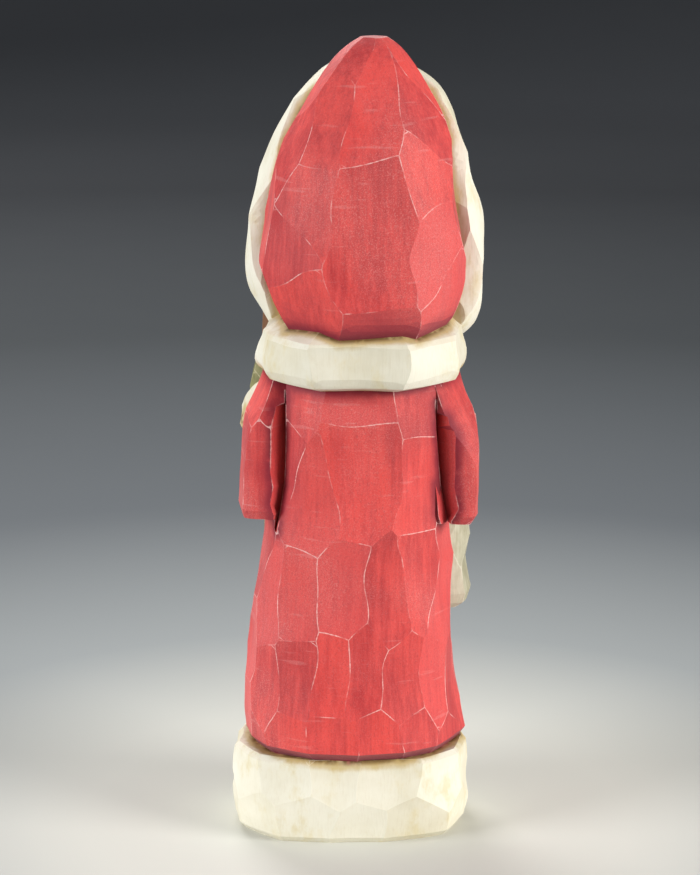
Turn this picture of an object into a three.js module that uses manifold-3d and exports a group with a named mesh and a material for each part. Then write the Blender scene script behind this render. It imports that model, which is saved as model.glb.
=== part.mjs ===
// A santa figurine, knife-carved from one block of basswood and painted.
// Millimetres, +Z up. The figure looks towards -Y, and its left hand is on the +X side.
// The tables below are in the block's own frame, whose X and Y zero is the middle of the foot;
// the finished body is then moved so that the middle of its box stands on the origin.

import * as THREE from 'three';
import Module from 'manifold-3d';

const wasm = await Module();
wasm.setup();

// Overall sizes
const BLOCK_MIDDLE = { x: -1.6, y: -0.5 };
const HEAD_X = -3.6;
const HOOD_FRONT_Y = -8;
const FACE_BACK_Y = -4;
const FRONT_BLOCK = { wide: 40, deep: 40, tall: 60 };

// Upright forms. Each row is height, middle x, half width, middle y, half depth.
const FOOT_ROWS = [
  [0, 0.2, 27.2, 0, 20.4],
  [1.6, 0.1, 28.9, 0, 21.8],
  [6, 0, 30, 0, 22.6],
  [12, 0, 29.7, 0, 22.6],
  [18, -0.2, 29.3, 0, 22.4],
  [20.8, -0.3, 28.7, 0, 22],
  [22, -0.4, 27.4, 0, 21],
];
const COAT_ROWS = [
  [19.5, -1, 24.8, 0.3, 19.6],
  [22, -0.7, 25.4, 0.5, 20.9],
  [24.6, -0.6, 27.1, 1, 23.7],
  [31, 0.1, 27, 0.9, 23.2],
  [44, -0.2, 25.9, 0.6, 22.2],
  [57, -0.6, 24.9, 0.3, 21.3],
  [70, -0.9, 23.6, 0.1, 20.5],
  [77, -1.5, 22.8, 0, 20.2],
  [86, -2.7, 22.6, 0, 19.8],
  [100, -2.9, 22.6, 0, 19.4],
  [113, -2.9, 22.4, 0, 18.9],
  [122, -2.8, 20, 0, 17],
];
const COLLAR_ROWS = [
  [116.4, -3, 20.2, 0.6, 19],
  [117.6, -3, 23.8, 1.2, 21.8],
  [119.6, -2.9, 25.2, 1.7, 22.8],
  [123, -2.9, 25.5, 1.9, 22.9],
  [128.6, -2.8, 23.4, 1.6, 22.4],
  [132, -3.4, 18.4, 1.9, 17.4],
];
const HOOD_ROWS = [
  [126.5, -3.8, 16.5, 3, 15],
  [129.6, -3.9, 18.9, 4, 17.4],
  [133, -4.1, 21.4, 4.6, 18.6],
  [138.6, -3.7, 23.7, 5, 19.2],
  [146.5, -2.8, 24.7, 5, 19.2],
  [156, -3, 23.7, 5, 18.8],
  [165, -3.1, 22.3, 4.8, 18],
  [174, -3.9, 20.1, 4.2, 16.5],
  [183, -4.8, 16.5, 3.2, 13.8],
  [189, -4.9, 13.2, 2.6, 10.9],
  [194.4, -5.1, 9.4, 2.2, 7.6],
  [198, -5.5, 5.9, 2, 5],
  [200, -5.7, 3, 2, 2.4],
];
const SACK_ROWS = [
  [50.6, -22.9, 5, -18.8, 4],
  [52.4, -22.9, 7.6, -18.8, 6.2],
  [55, -22.7, 8.8, -18.8, 7.2],
  [63, -22.6, 7.1, -18.6, 6.8],
  [71, -22.6, 7.7, -18.6, 6.8],
  [81, -22.9, 7.2, -18.9, 6.4],
  [89, -23.4, 5.4, -19.8, 5],
  [93.6, -23.8, 3.3, -21, 3.4],
  [98, -24, 4, -21.5, 3.8],
];

// Upper arms stand upright beside the chest and end flat at the elbow
const UPPER_ARM_ROWS = {
  left: [
    [82.3, 21.2, 5.2, 5.2, 8],
    [84.5, 21.4, 5.9, 5, 9.2],
    [93, 21.1, 6.3, 4.6, 9.8],
    [104, 19.6, 6.2, 3.4, 10],
    [112.8, 16.6, 5.6, 2.2, 9.8],
    [121, 14.4, 5.4, 1.4, 8.4],
  ],
  right: [
    [81, -25.1, 4.9, 5.2, 8],
    [83.2, -25.7, 5.9, 5, 9.2],
    [92, -26, 6.4, 4.6, 9.8],
    [104, -24.6, 6.3, 3.4, 10],
    [112.8, -21, 5.3, 2.2, 9.8],
    [121, -18.1, 5.1, 1.4, 8.4],
  ],
};

// Forms along a path. Each row is distance along, x, y, z, half width, half thickness.
const FOREARM_ROWS = {
  left: [
    [0, 20.9, 4, 90, 4.2, 5.4],
    [12, 20.9, -4.6, 95.4, 5.3, 6.8],
    [24, 21, -14.2, 102, 5.5, 6.4],
  ],
  right: [
    [0, -25.4, 4, 88.6, 4.2, 5.4],
    [12, -25.7, -5.4, 92.4, 5.4, 6.8],
    [24, -25.9, -15.4, 97.6, 5.5, 6.4],
  ],
};
const CUFF_ROWS = {
  left: [
    [0, 20.8, -11.8, 100.2, 5.8, 6.6],
    [1.2, 20.7, -12.8, 101, 6.6, 7.6],
    [6.4, 20.4, -16.6, 104.6, 6.7, 7.7],
    [8.4, 20.3, -18, 106, 5.4, 6.2],
  ],
  right: [
    [0, -25.7, -13, 95.6, 5.8, 6.4],
    [1.2, -25.7, -14, 96.2, 6.5, 7.3],
    [6.4, -25.5, -18.2, 98.8, 6.6, 7.4],
    [8.4, -25.4, -19.8, 99.8, 5.4, 6],
  ],
};
const MITTEN_ROWS = {
  left: [
    [0, 20.2, -16, 104.4, 4.4, 4.6],
    [4, 20, -18.6, 108, 4.9, 5.2],
    [8.5, 19.8, -20.4, 112.2, 5.1, 5.4],
    [12, 19.7, -21.2, 115.2, 4.3, 4.6],
    [14, 19.7, -21.6, 117, 2.4, 2.6],
  ],
  right: [
    [0, -26, -17, 98.2, 4.4, 4.4],
    [4, -25.5, -19.6, 99.6, 4.9, 5],
    [8, -24.6, -21.6, 99.4, 5, 5.2],
    [11, -23.8, -22.4, 97.2, 4.2, 4.4],
    [13, -23.3, -22.6, 95.4, 2.4, 2.6],
  ],
};
const THUMB_ROWS = {
  left: [
    [0, 18, -18.4, 107.6, 2, 2],
    [4, 16.6, -21, 110.6, 2.2, 2.2],
    [8, 17.4, -23.4, 113, 1.4, 1.4],
  ],
  right: [
    [0, -22.4, -20, 101.6, 2, 2],
    [4, -20.6, -22.8, 100.6, 2.2, 2.2],
    [8, -21, -25, 98.4, 1.4, 1.4],
  ],
};
const STAFF_ROWS = [
  [0, 19, -18.6, 0.5, 2.2, 2.2],
  [40, 19.2, -19.2, 40, 2.4, 2.3],
  [80, 19.6, -20.6, 80, 2.3, 2.4],
  [114, 19.8, -21.6, 114, 2.4, 2.3],
  [140, 19.4, -20.2, 140, 2.3, 2.3],
  [157, 19.2, -19, 157, 2.7, 2.7],
  [160, 19.2, -18.8, 160, 1.8, 1.8],
];
const COAT_TRIM_ROWS = [
  [0, -0.6, -20.4, 20, 4.6, 2.2],
  [5, -0.6, -22.3, 25, 5.2, 2.6],
  [24, -0.4, -21.5, 44, 4.9, 2.6],
  [50, -1.4, -20.1, 70, 4.6, 2.6],
  [68, -2.4, -19.4, 88, 4.4, 2.6],
];
const MOUSTACHE_ROWS = [
  [0, 0.2, -18.2, 151.6, 1.5, 1.6],
  [3, 2.8, -19.4, 151, 2.4, 2.4],
  [8, 7.6, -18.6, 149, 2.9, 2.5],
  [12, 11.6, -16.6, 147.4, 2.3, 2.1],
  [16, 15.2, -14.4, 148.4, 1.4, 1.3],
  [18.5, 17, -13.2, 150.4, 0.5, 0.5],
];
const EYEBROW_ROWS = [
  [0, 2.8, -17, 168.8, 0.7, 0.8],
  [4, 6.4, -16.4, 169.9, 1.4, 1.4],
  [8, 10.4, -14.6, 169.4, 1.2, 1.2],
  [11, 13.2, -12.8, 167.2, 0.4, 0.5],
];

// Fur around the face opening: its outer edge, x from the head's middle and height
const FUR_EDGE = [
  [0, 193.2], [5.5, 192.6], [11.6, 188.6], [17.2, 182], [21.8, 175], [25.7, 163.5], [28, 152.9],
  [29.4, 143], [28.3, 137], [25.4, 131.8], [21, 126], [12, 120.6], [0, 119.4], [-12, 120.6],
  [-24.8, 125], [-28.8, 130.8], [-29.4, 139.2], [-29.4, 149.8], [-28.2, 157], [-25.8, 164], [-23.7, 172],
  [-21.2, 181.6], [-18.4, 186.6], [-13, 190.4], [-6.5, 192.6],
];
const FUR_HALF_WIDTH = 5;
const FUR_HALF_DEPTH = 4.6;
const FUR_Y = -9.8;
const FUR_SQUARENESS = 2.6;

// Face and beard, in the head's own frame: x from its middle line, forward depth from y = 0
const FACE = {
  halfWidth: 21, low: 139, high: 188, brow: 168.5, eye: 163, noseTip: 155.4, columns: 24, rows: 26,
};
const FACE_OVAL = { middle: 156, halfHeight: 36 };
const BEARD_ROWS = [
  [74, -2.2, 1.4, 22.6],
  [80, -2.3, 4.4, 24.2],
  [90, -2.5, 8.4, 25.6],
  [100, -2.8, 11.6, 26.2],
  [112, -3.1, 14.2, 26.2],
  [125, -3.4, 16.2, 25.4],
  [138, -3.6, 18.6, 21.6],
  [150, -3.6, 19.6, 16.6],
  [163, -3.6, 19, 11.6],
];
const BEARD = { low: 74, lipHigh: 147.2, sideRise: 15, locks: 7, groove: 2, columns: 36, rows: 18 };

// Slits that part each arm from the back of the chest. Each row is a height, how far the slit's root is
// from x = 0, and how far the sleeve's wall leans from the root at the mouth.
const SLIT_ROWS = {
  left: [
    [79, 18.4, 0.8],
    [83.6, 17.5, 3],
    [90.8, 16.3, 6.6],
    [100.9, 15.9, 9.2],
    [110.8, 15.9, 8.8],
    [114.6, 15.9, 0.3],
  ],
  right: [
    [77.6, 24.6, 0.8],
    [81.8, 24, 3],
    [90.7, 22.5, 9],
    [105, 21.3, 10.8],
    [108.4, 21.2, 8.2],
    [112.4, 21.1, 0.3],
  ],
};
const SLIT_ROOT_Y = 9.5;
const SLIT_MOUTH_Y = 21;

// A slit's own wedge, and the wider one inside it that first trims the arm off the chest: how far its root
// stands out and back from the slit's, its share of the sleeve wall's lean, and the chest wall's lean
const SLIT = { out: 0, back: 0, share: 1, chestLean: 0.8 };
const ARM_TRIM = { out: 0.1, back: 1, share: 0.6, chestLean: 8 };

// Knife cuts placed by eye on the back: degrees round from the back's middle, height, extra depth
const HOOD_CUTS = [
  [20, 203, 0.2], [-2, 183.7, 0.3], [-6, 156.7, 1.1], [-7, 121, 0], [-62, 194, 0.1], [-50, 181, 0.2],
  [-44, 168.8, 0.2], [-49, 152, 0.3], [-60, 138.5, 0.2], [-86, 161, 0.1], [71, 192, 0.1], [35, 180, 0.3],
  [62, 175, 0.2], [37, 162, 0.4], [47, 150, 0.3], [42, 138, 0.2], [79, 157, 0.1], [98, 186, 0],
  [102, 168, 0], [104, 147, 0], [86, 135, 0], [-100, 182, 0], [-108, 160, 0], [-100, 144, 0],
  [-92, 132, 0], [140, 190, 0], [-140, 190, 0], [180, 180, 0], [135, 160, 0], [-135, 160, 0],
  [180, 145, 0],
];
const COAT_CUTS = [
  [0, 116, 0.2], [46, 114.5, 0.1], [-42, 113.5, 0.1], [1, 96, 0.7], [51, 99, 0], [30, 88, 0.2],
  [-43, 93, 0.2], [33, 62.5, 0.2], [6, 64.5, 0.2], [-19, 62, 0.1], [-42, 67, 0.1], [56, 60, 0.1],
  [-62, 58, 0.1], [31, 43, 0.1], [54, 39, 0.1], [10, 44, 0.1], [-9, 46, 0.2], [-29, 43, 0.2],
  [-51, 41, 0.1], [-72, 40, 0], [34, 25, 0.1], [10, 26, 0], [-14, 24, 0.1], [-37, 25, 0],
  [60, 22, 0], [-62, 22, 0], [76, 48, 0], [76, 72, 0], [-70, 84, 0], [-70, 108, 0], [72, 110, 0],
  [76, 28, 0],
];
const COLLAR_CUTS = [
  [2, 123, 1.1], [50, 123, 0.6], [-46, 123, 0.6], [74, 122, 0.3], [-78, 122, 0.3],
  [2, 133, 1.2], [50, 132.6, 0.8], [-46, 132.6, 0.8],
];

// Knife cuts on the upper arms, as on the back
const SLEEVE_CUTS = {
  left: [
    [12, 92, 0.4], [-2, 120, 0.3], [76, 94, 0.2], [70, 119, 0.2], [-72, 96, 0.2], [-76, 118, 0.1],
    [128, 92, 0.1], [180, 100, 0.1], [-128, 96, 0.1],
  ],
  right: [
    [6, 90, 0.4], [22, 119, 0.3], [-44, 113, 0.3], [-88, 92, 0.1], [72, 96, 0.2], [78, 118, 0.1],
    [128, 92, 0.1], [180, 100, 0.1], [-128, 96, 0.1],
  ],
};

const TURN = 2 * Math.PI;
const ACROSS = new THREE.Vector3(1, 0, 0);
const UPWARDS = new THREE.Vector3(0, 0, 1);
const HAIR_LINE = 1e-4;
const QUARTER_STEPS = 500;
const SMALLEST_EDGE = 0.02;
const EDGE_REACH = 0.5;

// How a knife wanders: cuts sit in staggered rows, off their places by these shares of their size
const ROW_STAGGER = [0.25, 0.75];
const SIDE_WANDER = 0.4;
const RISE_WANDER = 0.45;
const DEPTH_WANDER = 0.3;

// Repeatable scatter from 0 to 1
function scatter(a, b) {
  const wave = Math.sin(a * 12.9898 + b * 78.233) * 43758.5453;
  return wave - Math.floor(wave);
}

// Brings a value that runs on past a period back into it
const fold = (value, period) => ((value % period) + period) % period;

const bump = (distance, width) => Math.exp(-((distance / width) ** 2));

// Smooth curve through the rows of a table, whose first column is the place along
function readRows(rows, place) {
  const last = rows.length - 1;
  let i = 0;
  while (i < last - 1 && place > rows[i + 1][0]) i += 1;
  const [here, next] = [rows[i], rows[i + 1]];
  const [before, after] = [rows[Math.max(i - 1, 0)], rows[Math.min(i + 2, last)]];
  const span = next[0] - here[0];
  const t = Math.min(1, Math.max(0, (place - here[0]) / span));
  return here.slice(1).map((value, k) => {
    const end = next[k + 1];
    const slopeHere = ((end - before[k + 1]) / (next[0] - before[0])) * span;
    const slopeEnd = ((after[k + 1] - value) / (after[0] - here[0])) * span;
    const a = 2 * t ** 3 - 3 * t ** 2 + 1;
    const b = t ** 3 - 2 * t ** 2 + t;
    const c = t ** 3 - t ** 2;
    return a * value + (1 - a) * end + b * slopeHere + c * slopeEnd;
  });
}

// A loft is a row of rounded sections. section(v) gives the one at v, and angle 0 on it is "deep".
function uprightLoft(rows, squareness, turns = []) {
  return {
    low: rows[0][0],
    high: rows[rows.length - 1][0],
    squareness,
    even: evenTurns(squareness),
    turns,
    section(v) {
      const [x, halfWide, y, halfDeep] = readRows(rows, v);
      return {
        centre: new THREE.Vector3(x, y, v),
        wide: new THREE.Vector3(1, 0, 0),
        deep: new THREE.Vector3(0, 1, 0),
        halfWide,
        halfDeep,
      };
    },
  };
}

// Sections square to a path. Their wide side lies as near as it can to the guide, and mirror -1
// puts the table's x on the other side of the middle.
function pathLoft(rows, squareness, { guide = ACROSS, mirror = 1, middle = 0, turns = [] } = {}) {
  const centreAt = (v) => {
    const [x, y, z] = readRows(rows, v);
    return new THREE.Vector3(middle + mirror * x, y, z);
  };
  const high = rows[rows.length - 1][0];
  return {
    low: 0,
    high,
    squareness,
    even: evenTurns(squareness),
    turns,
    section(v) {
      const [, , , halfWide, halfDeep] = readRows(rows, v);
      const before = centreAt(Math.max(v - EDGE_REACH, 0));
      const ahead = centreAt(Math.min(v + EDGE_REACH, high)).sub(before).normalize();
      const deep = ahead.clone().cross(guide).normalize();
      const wide = deep.clone().cross(ahead).normalize();
      return { centre: centreAt(v), wide, deep, halfWide, halfDeep };
    },
  };
}

// The fur ring is a closed loft that runs round the face opening
function ringLoft() {
  const corners = FUR_EDGE.map(([x, z]) => new THREE.Vector3(HEAD_X + x, FUR_Y, z));
  const edge = new THREE.CatmullRomCurve3(corners, true);
  const length = edge.getLength();
  return {
    low: 0,
    high: length,
    loop: true,
    squareness: FUR_SQUARENESS,
    even: evenTurns(FUR_SQUARENESS),
    section(v) {
      const along = fold(v / length, 1);
      const ahead = edge.getTangentAt(along);
      const deep = new THREE.Vector3(0, 1, 0);
      const wide = deep.clone().cross(ahead).normalize();
      const centre = edge.getPointAt(along).addScaledVector(wide, FUR_HALF_WIDTH);
      return { centre, wide, deep, halfWide: FUR_HALF_WIDTH, halfDeep: FUR_HALF_DEPTH };
    },
  };
}

// Angles round a quarter of a rounded section that lie evenly along its edge
function evenTurns(squareness) {
  const bend = 2 / squareness;
  const angles = Array.from({ length: QUARTER_STEPS + 1 }, (_, i) => (i / QUARTER_STEPS) * (Math.PI / 2));
  const runs = [0];
  for (let i = 1; i < angles.length; i += 1) {
    const dx = Math.sin(angles[i]) ** bend - Math.sin(angles[i - 1]) ** bend;
    const dy = Math.cos(angles[i]) ** bend - Math.cos(angles[i - 1]) ** bend;
    runs.push(runs[i - 1] + Math.hypot(dx, dy));
  }
  let i = 1;
  return angles.map((angle, step) => {
    const run = (step / QUARTER_STEPS) * runs[QUARTER_STEPS];
    while (i < QUARTER_STEPS && runs[i] < run) i += 1;
    return angles[i - 1] + ((run - runs[i - 1]) / (runs[i] - runs[i - 1])) * (angles[i] - angles[i - 1]);
  });
}

// The angle of a section's own curve at an even angle round its edge
function turnOnEdge(turns, angle) {
  const quarter = Math.floor(angle / (Math.PI / 2));
  const share = angle / (Math.PI / 2) - quarter;
  const odd = fold(quarter, 2) === 1;
  const place = (odd ? 1 - share : share) * QUARTER_STEPS;
  const step = Math.min(Math.floor(place), QUARTER_STEPS - 1);
  const turn = turns[step] + (place - step) * (turns[step + 1] - turns[step]);
  return odd ? (quarter + 1) * (Math.PI / 2) - turn : quarter * (Math.PI / 2) + turn;
}

// The lift is given for a section of the form's usual size, and shrinks with a smaller one
function pointOnSection(section, loft, angle, lift, usualSize) {
  const bend = 2 / loft.squareness;
  const turn = turnOnEdge(loft.even, angle);
  const s = Math.sin(turn);
  const c = Math.cos(turn);
  const x = section.halfWide * Math.sign(s) * Math.abs(s) ** bend;
  const y = section.halfDeep * Math.sign(c) * Math.abs(c) ** bend;
  const size = Math.min(1, (section.halfWide + section.halfDeep) / 2 / usualSize);
  const grow = 1 + (lift * size) / Math.hypot(x, y);
  const point = section.centre.clone().addScaledVector(section.wide, x * grow);
  return point.addScaledVector(section.deep, y * grow);
}

// Staggered cuts over a loft; across and along are the cuts' usual width and length in millimetres
function spreadCuts(loft, { radius, across, along, from = -180, to = 180, salt }) {
  const rowCount = Math.max(1, Math.round((loft.high - loft.low) / along));
  const columnCount = Math.max(3, Math.round((THREE.MathUtils.degToRad(to - from) * radius) / across));
  const cuts = [];
  for (let row = 0; row < rowCount; row += 1) {
    for (let column = 0; column < columnCount; column += 1) {
      const dice = scatter(row + salt, column + 3 * salt);
      const otherDice = scatter(column + 7 * salt, row + 5 * salt);
      const turn = (column + ROW_STAGGER[row % 2] + SIDE_WANDER * (dice - 0.5)) / columnCount;
      const rise = (row + 0.5 + RISE_WANDER * (otherDice - 0.5)) / rowCount;
      const place = loft.low + (loft.high - loft.low) * rise;
      cuts.push([from + (to - from) * turn, place, DEPTH_WANDER * (dice - 0.5)]);
    }
  }
  return cuts;
}

// Keeps the part of a convex outline where a * u + b * v <= limit
function clip(outline, a, b, limit) {
  const kept = [];
  outline.forEach((point, i) => {
    const next = outline[(i + 1) % outline.length];
    const here = a * point[0] + b * point[1] - limit;
    const there = a * next[0] + b * next[1] - limit;
    if (here <= 0) kept.push(point);
    if (here < 0 !== there < 0 && here !== there) {
      const t = here / (here - there);
      kept.push([point[0] + t * (next[0] - point[0]), point[1] + t * (next[1] - point[1])]);
    }
  });
  return kept;
}

// Each cut sinks to its depth at its middle and rises away from it; the lowest cut wins everywhere,
// so neighbours meet in straight ridges. u is the angle and v the place along the loft.
function cutCells(loft, cuts, { radius, hollow, scoop, depth }) {
  const a = (hollow / (2 * radius)) * radius ** 2;
  const b = scoop;
  const period = loft.high - loft.low;
  const loops = loft.loop ? [-period, 0, period] : [0];
  const seeds = cuts.map(([degrees, v, extra]) => (
    { u: THREE.MathUtils.degToRad(degrees), v, sink: depth + extra }
  ));
  return seeds.map((seed) => {
    const bottom = loft.loop ? seed.v - period / 2 : loft.low;
    const top = loft.loop ? seed.v + period / 2 : loft.high;
    const [left, right] = [seed.u - Math.PI, seed.u + Math.PI];
    let outline = [[left, bottom], [right, bottom], [right, top], [left, top]];
    for (const other of seeds) {
      for (const du of [-TURN, 0, TURN]) {
        for (const dv of loops) {
          if (other === seed && du === 0 && dv === 0) continue;
          const [u, v] = [other.u + du, other.v + dv];
          const limit = a * (u ** 2 - seed.u ** 2) + b * (v ** 2 - seed.v ** 2) + seed.sink - other.sink;
          outline = clip(outline, 2 * a * (u - seed.u), 2 * b * (v - seed.v), limit);
          if (outline.length < 3) return null;
        }
      }
    }
    const lift = (u, v) => a * (u - seed.u) ** 2 + b * (v - seed.v) ** 2 - seed.sink;
    return { outline, lift };
  }).filter(Boolean);
}

// Splits cells along the levels where the loft's own profile turns
function splitAt(levels, cells) {
  return levels.reduce((parts, level) => parts.flatMap(({ outline, lift }) => {
    const below = clip(outline, 0, 1, level);
    const above = clip(outline, 0, -1, -level);
    return [below, above].filter((part) => part.length > 2).map((part) => ({ outline: part, lift }));
  }), cells);
}

// Points and triangles of a closed body, as a solid that can be joined and cut
function solidFrom(points, triangles) {
  const vertProperties = new Float32Array(points.flatMap((p) => [p.x, p.y, p.z]));
  const whole = triangles.filter(([a, b, c]) => a !== b && b !== c && c !== a);
  const triVerts = new Uint32Array(whole.flat());
  return new wasm.Manifold(new wasm.Mesh({ numProp: 3, vertProperties, triVerts }));
}

// The loft's surface as flats with shared ridges, closed by a flat cap at each open end
function carvedSolid(loft, cuts, knife) {
  const points = [];
  const triangles = [];
  const known = new Map();
  const period = loft.high - loft.low;
  const addPoint = (u, v, lift) => {
    const foldedV = loft.loop ? loft.low + fold(v - loft.low, period) : v;
    const turnKey = Math.round(fold(u, TURN) / HAIR_LINE) % Math.round(TURN / HAIR_LINE);
    const wholeLoop = loft.loop ? Math.round(period / HAIR_LINE) : Infinity;
    const placeKey = Math.round((foldedV - loft.low) / HAIR_LINE) % wholeLoop;
    const key = `${turnKey} ${placeKey}`;
    if (!known.has(key)) {
      known.set(key, points.length);
      points.push(pointOnSection(loft.section(foldedV), loft, u, lift(u, v), knife.radius));
    }
    return known.get(key);
  };
  const caps = new Map();
  const addCap = (v, from, to) => {
    if (!caps.has(v)) {
      caps.set(v, points.length);
      points.push(loft.section(v).centre);
    }
    triangles.push([from, to, caps.get(v)]);
  };
  const tidy = (value) => Math.round(value / HAIR_LINE) * HAIR_LINE;
  for (const { outline, lift } of splitAt(loft.turns ?? [], cutCells(loft, cuts, knife))) {
    const middleU = outline.reduce((sum, [u]) => sum + u, 0) / outline.length;
    const middleV = outline.reduce((sum, [, v]) => sum + v, 0) / outline.length;
    const hub = addPoint(middleU, middleV, lift);
    outline.forEach(([u, v], i) => {
      const [nextU, nextV] = outline[(i + 1) % outline.length];
      const length = Math.hypot(tidy(nextU - u) * knife.radius, tidy(nextV - v));
      const steps = Math.max(1, Math.round(length / knife.step));
      let from = addPoint(u, v, lift);
      for (let step = 1; step <= steps; step += 1) {
        const t = step / steps;
        const to = addPoint(u + t * (nextU - u), v + t * (nextV - v), lift);
        triangles.push([hub, to, from]);
        for (const end of loft.loop ? [] : [loft.low, loft.high]) {
          if (Math.abs(v - end) < HAIR_LINE && Math.abs(nextV - end) < HAIR_LINE) addCap(end, from, to);
        }
        from = to;
      }
    });
  }
  return solidFrom(points, triangles);
}

// A carved front: a grid of points over a flat back. s and t run from 0 to 1.
function panelSolid(columns, rows, backY, frontAt) {
  const points = [];
  const triangles = [];
  const wide = columns + 1;
  for (let row = 0; row <= rows; row += 1) {
    for (let column = 0; column <= columns; column += 1) points.push(frontAt(column / columns, row / rows));
  }
  for (let row = 0; row < rows; row += 1) {
    for (let column = 0; column < columns; column += 1) {
      const corner = row * wide + column;
      triangles.push([corner, corner + 1, corner + wide + 1], [corner, corner + wide + 1, corner + wide]);
    }
  }
  const rim = [];
  for (let column = 0; column < columns; column += 1) rim.push(column);
  for (let row = 0; row < rows; row += 1) rim.push(row * wide + columns);
  for (let column = columns; column > 0; column -= 1) rim.push(rows * wide + column);
  for (let row = rows; row > 0; row -= 1) rim.push(row * wide);
  const firstBack = points.length;
  for (const index of rim) points.push(new THREE.Vector3(points[index].x, backY, points[index].z));
  const hub = points.length;
  const total = rim.reduce((sum, index) => sum.add(points[index]), new THREE.Vector3());
  const middle = total.divideScalar(rim.length);
  points.push(new THREE.Vector3(middle.x, backY, middle.z));
  rim.forEach((index, i) => {
    const nextI = (i + 1) % rim.length;
    const [back, nextBack] = [firstBack + i, firstBack + nextI];
    triangles.push([rim[nextI], index, back], [rim[nextI], back, nextBack], [nextBack, back, hub]);
  });
  return solidFrom(points, triangles);
}

// How far the face stands forward at x from its middle line and height z
function faceDepth(x, z) {
  const side = Math.abs(x);
  let depth = 15.4 - 5.6 * (x / FACE.halfWidth) ** 2 - 2.2 * ((z - 160) / 26) ** 2;
  depth += 1.3 * bump(z - FACE.brow, 2.8) * bump(side - 7, 8);
  depth -= 2.5 * bump(side - 7.3, 4.4) * bump(z - FACE.eye - 0.4, 3.4);
  depth += 1.6 * bump(side - 7.3, 2.9) * bump(z - FACE.eye, 1.9);
  depth += 1.8 * bump(side - 9.4, 5) * bump(z - FACE.noseTip - 0.2, 4.6);
  const along = Math.min(1, Math.max(0, (FACE.brow - z) / (FACE.brow - FACE.noseTip)));
  const below = Math.max(0, FACE.noseTip - z);
  const rise = (1.2 + 5 * along ** 1.4) * Math.exp(-((below / 1.9) ** 4));
  const width = 1.5 + 1.7 * along;
  depth += rise * Math.exp(-((side / width) ** 2.6)) * bump(Math.max(0, z - FACE.brow), 3);
  depth += 2 * bump(side - 3.1, 1.5) * bump(z - FACE.noseTip + 0.4, 1.8);
  return depth;
}

// How far the beard stands forward; s runs across it from -1 to 1
function beardDepth(s, z, front) {
  const flow = 0.42 * Math.sin(z / 13 + 0.9 * s) + 0.1 * Math.sin(z / 5 + 2 * s);
  const lock = (s * BEARD.locks) / 2 + flow;
  const groove = Math.abs(lock - Math.round(lock)) * 2;
  const fade = Math.min(1, (z - BEARD.low) / 12);
  return front - 5.4 * s ** 2 - BEARD.groove * fade * groove ** 2.2;
}

function faceSolid() {
  return panelSolid(FACE.columns, FACE.rows, FACE_BACK_Y, (s, t) => {
    const z = FACE.low + t * (FACE.high - FACE.low);
    const oval = Math.sqrt(1 - ((z - FACE_OVAL.middle) / FACE_OVAL.halfHeight) ** 2);
    const x = FACE.halfWidth * oval * (2 * s - 1);
    return new THREE.Vector3(HEAD_X + x, -faceDepth(x, z), z);
  });
}

function beardSolid() {
  return panelSolid(BEARD.columns, BEARD.rows, FACE_BACK_Y, (share, t) => {
    const s = 2 * share - 1;
    const top = BEARD.lipHigh + BEARD.sideRise * Math.abs(s) ** 2.4;
    const z = BEARD.low + t * (top - BEARD.low);
    const [middle, halfWidth, front] = readRows(BEARD_ROWS, z);
    return new THREE.Vector3(middle + s * halfWidth, -beardDepth(s, z, front), z);
  });
}

// A wedge that opens backwards, with its root inside the body. It closes up at its topmost row.
function slitSolid(side, wedge) {
  const rows = SLIT_ROWS[side];
  const outward = side === 'left' ? 1 : -1;
  const points = rows.flatMap(([z, slitRoot, sleeveLean], i) => {
    const root = slitRoot + wedge.out;
    const chest = i === rows.length - 1 ? sleeveLean : wedge.chestLean;
    const mouthY = SLIT_MOUTH_Y + wedge.back;
    const sleeve = root + wedge.share * sleeveLean;
    const corners = [[root, SLIT_ROOT_Y + wedge.back], [sleeve, mouthY], [root - chest, mouthY]];
    return corners.map(([x, y]) => new THREE.Vector3(outward * x, y, z));
  });
  const top = points.length - 3;
  const faces = [[0, 2, 1], [top, top + 1, top + 2]];
  for (let low = 0; low < top; low += 3) {
    for (const [a, b] of [[0, 1], [1, 2], [2, 0]]) {
      faces.push([low + a, low + b, low + b + 3], [low + a, low + b + 3, low + a + 3]);
    }
  }
  return solidFrom(points, outward > 0 ? faces : faces.map(([a, b, c]) => [a, c, b]));
}

// A block in front of the hood, which leaves the flat that the face is carved in
function hoodFrontBlock() {
  const { wide, deep, tall } = FRONT_BLOCK;
  const corner = (x, y, z) => (
    new THREE.Vector3(x * wide, HOOD_FRONT_Y - y * deep, FACE_OVAL.middle + z * tall)
  );
  const points = [
    corner(-1, 1, -1), corner(1, 1, -1), corner(1, 0, -1), corner(-1, 0, -1),
    corner(-1, 1, 1), corner(1, 1, 1), corner(1, 0, 1), corner(-1, 0, 1),
  ];
  const quads = [[3, 2, 1, 0], [4, 5, 6, 7], [0, 1, 5, 4], [1, 2, 6, 5], [2, 3, 7, 6], [3, 0, 4, 7]];
  return solidFrom(points, quads.flatMap(([a, b, c, d]) => [[a, b, c], [a, c, d]]));
}

// Knife habits: radius is the form's rounding, hollow 1 leaves flats and more leaves scoops
const BIG_KNIFE = { radius: 23, hollow: 1.05, scoop: 0.006, depth: 0.6, step: 7 };

function footSolid() {
  const loft = uprightLoft(FOOT_ROWS, 2.8, [1.6, 20.8]);
  const knife = { ...BIG_KNIFE, radius: 27, scoop: 0.016, depth: 0.5 };
  return carvedSolid(loft, spreadCuts(loft, { radius: 27, across: 13, along: 11, salt: 4 }), knife);
}

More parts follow.
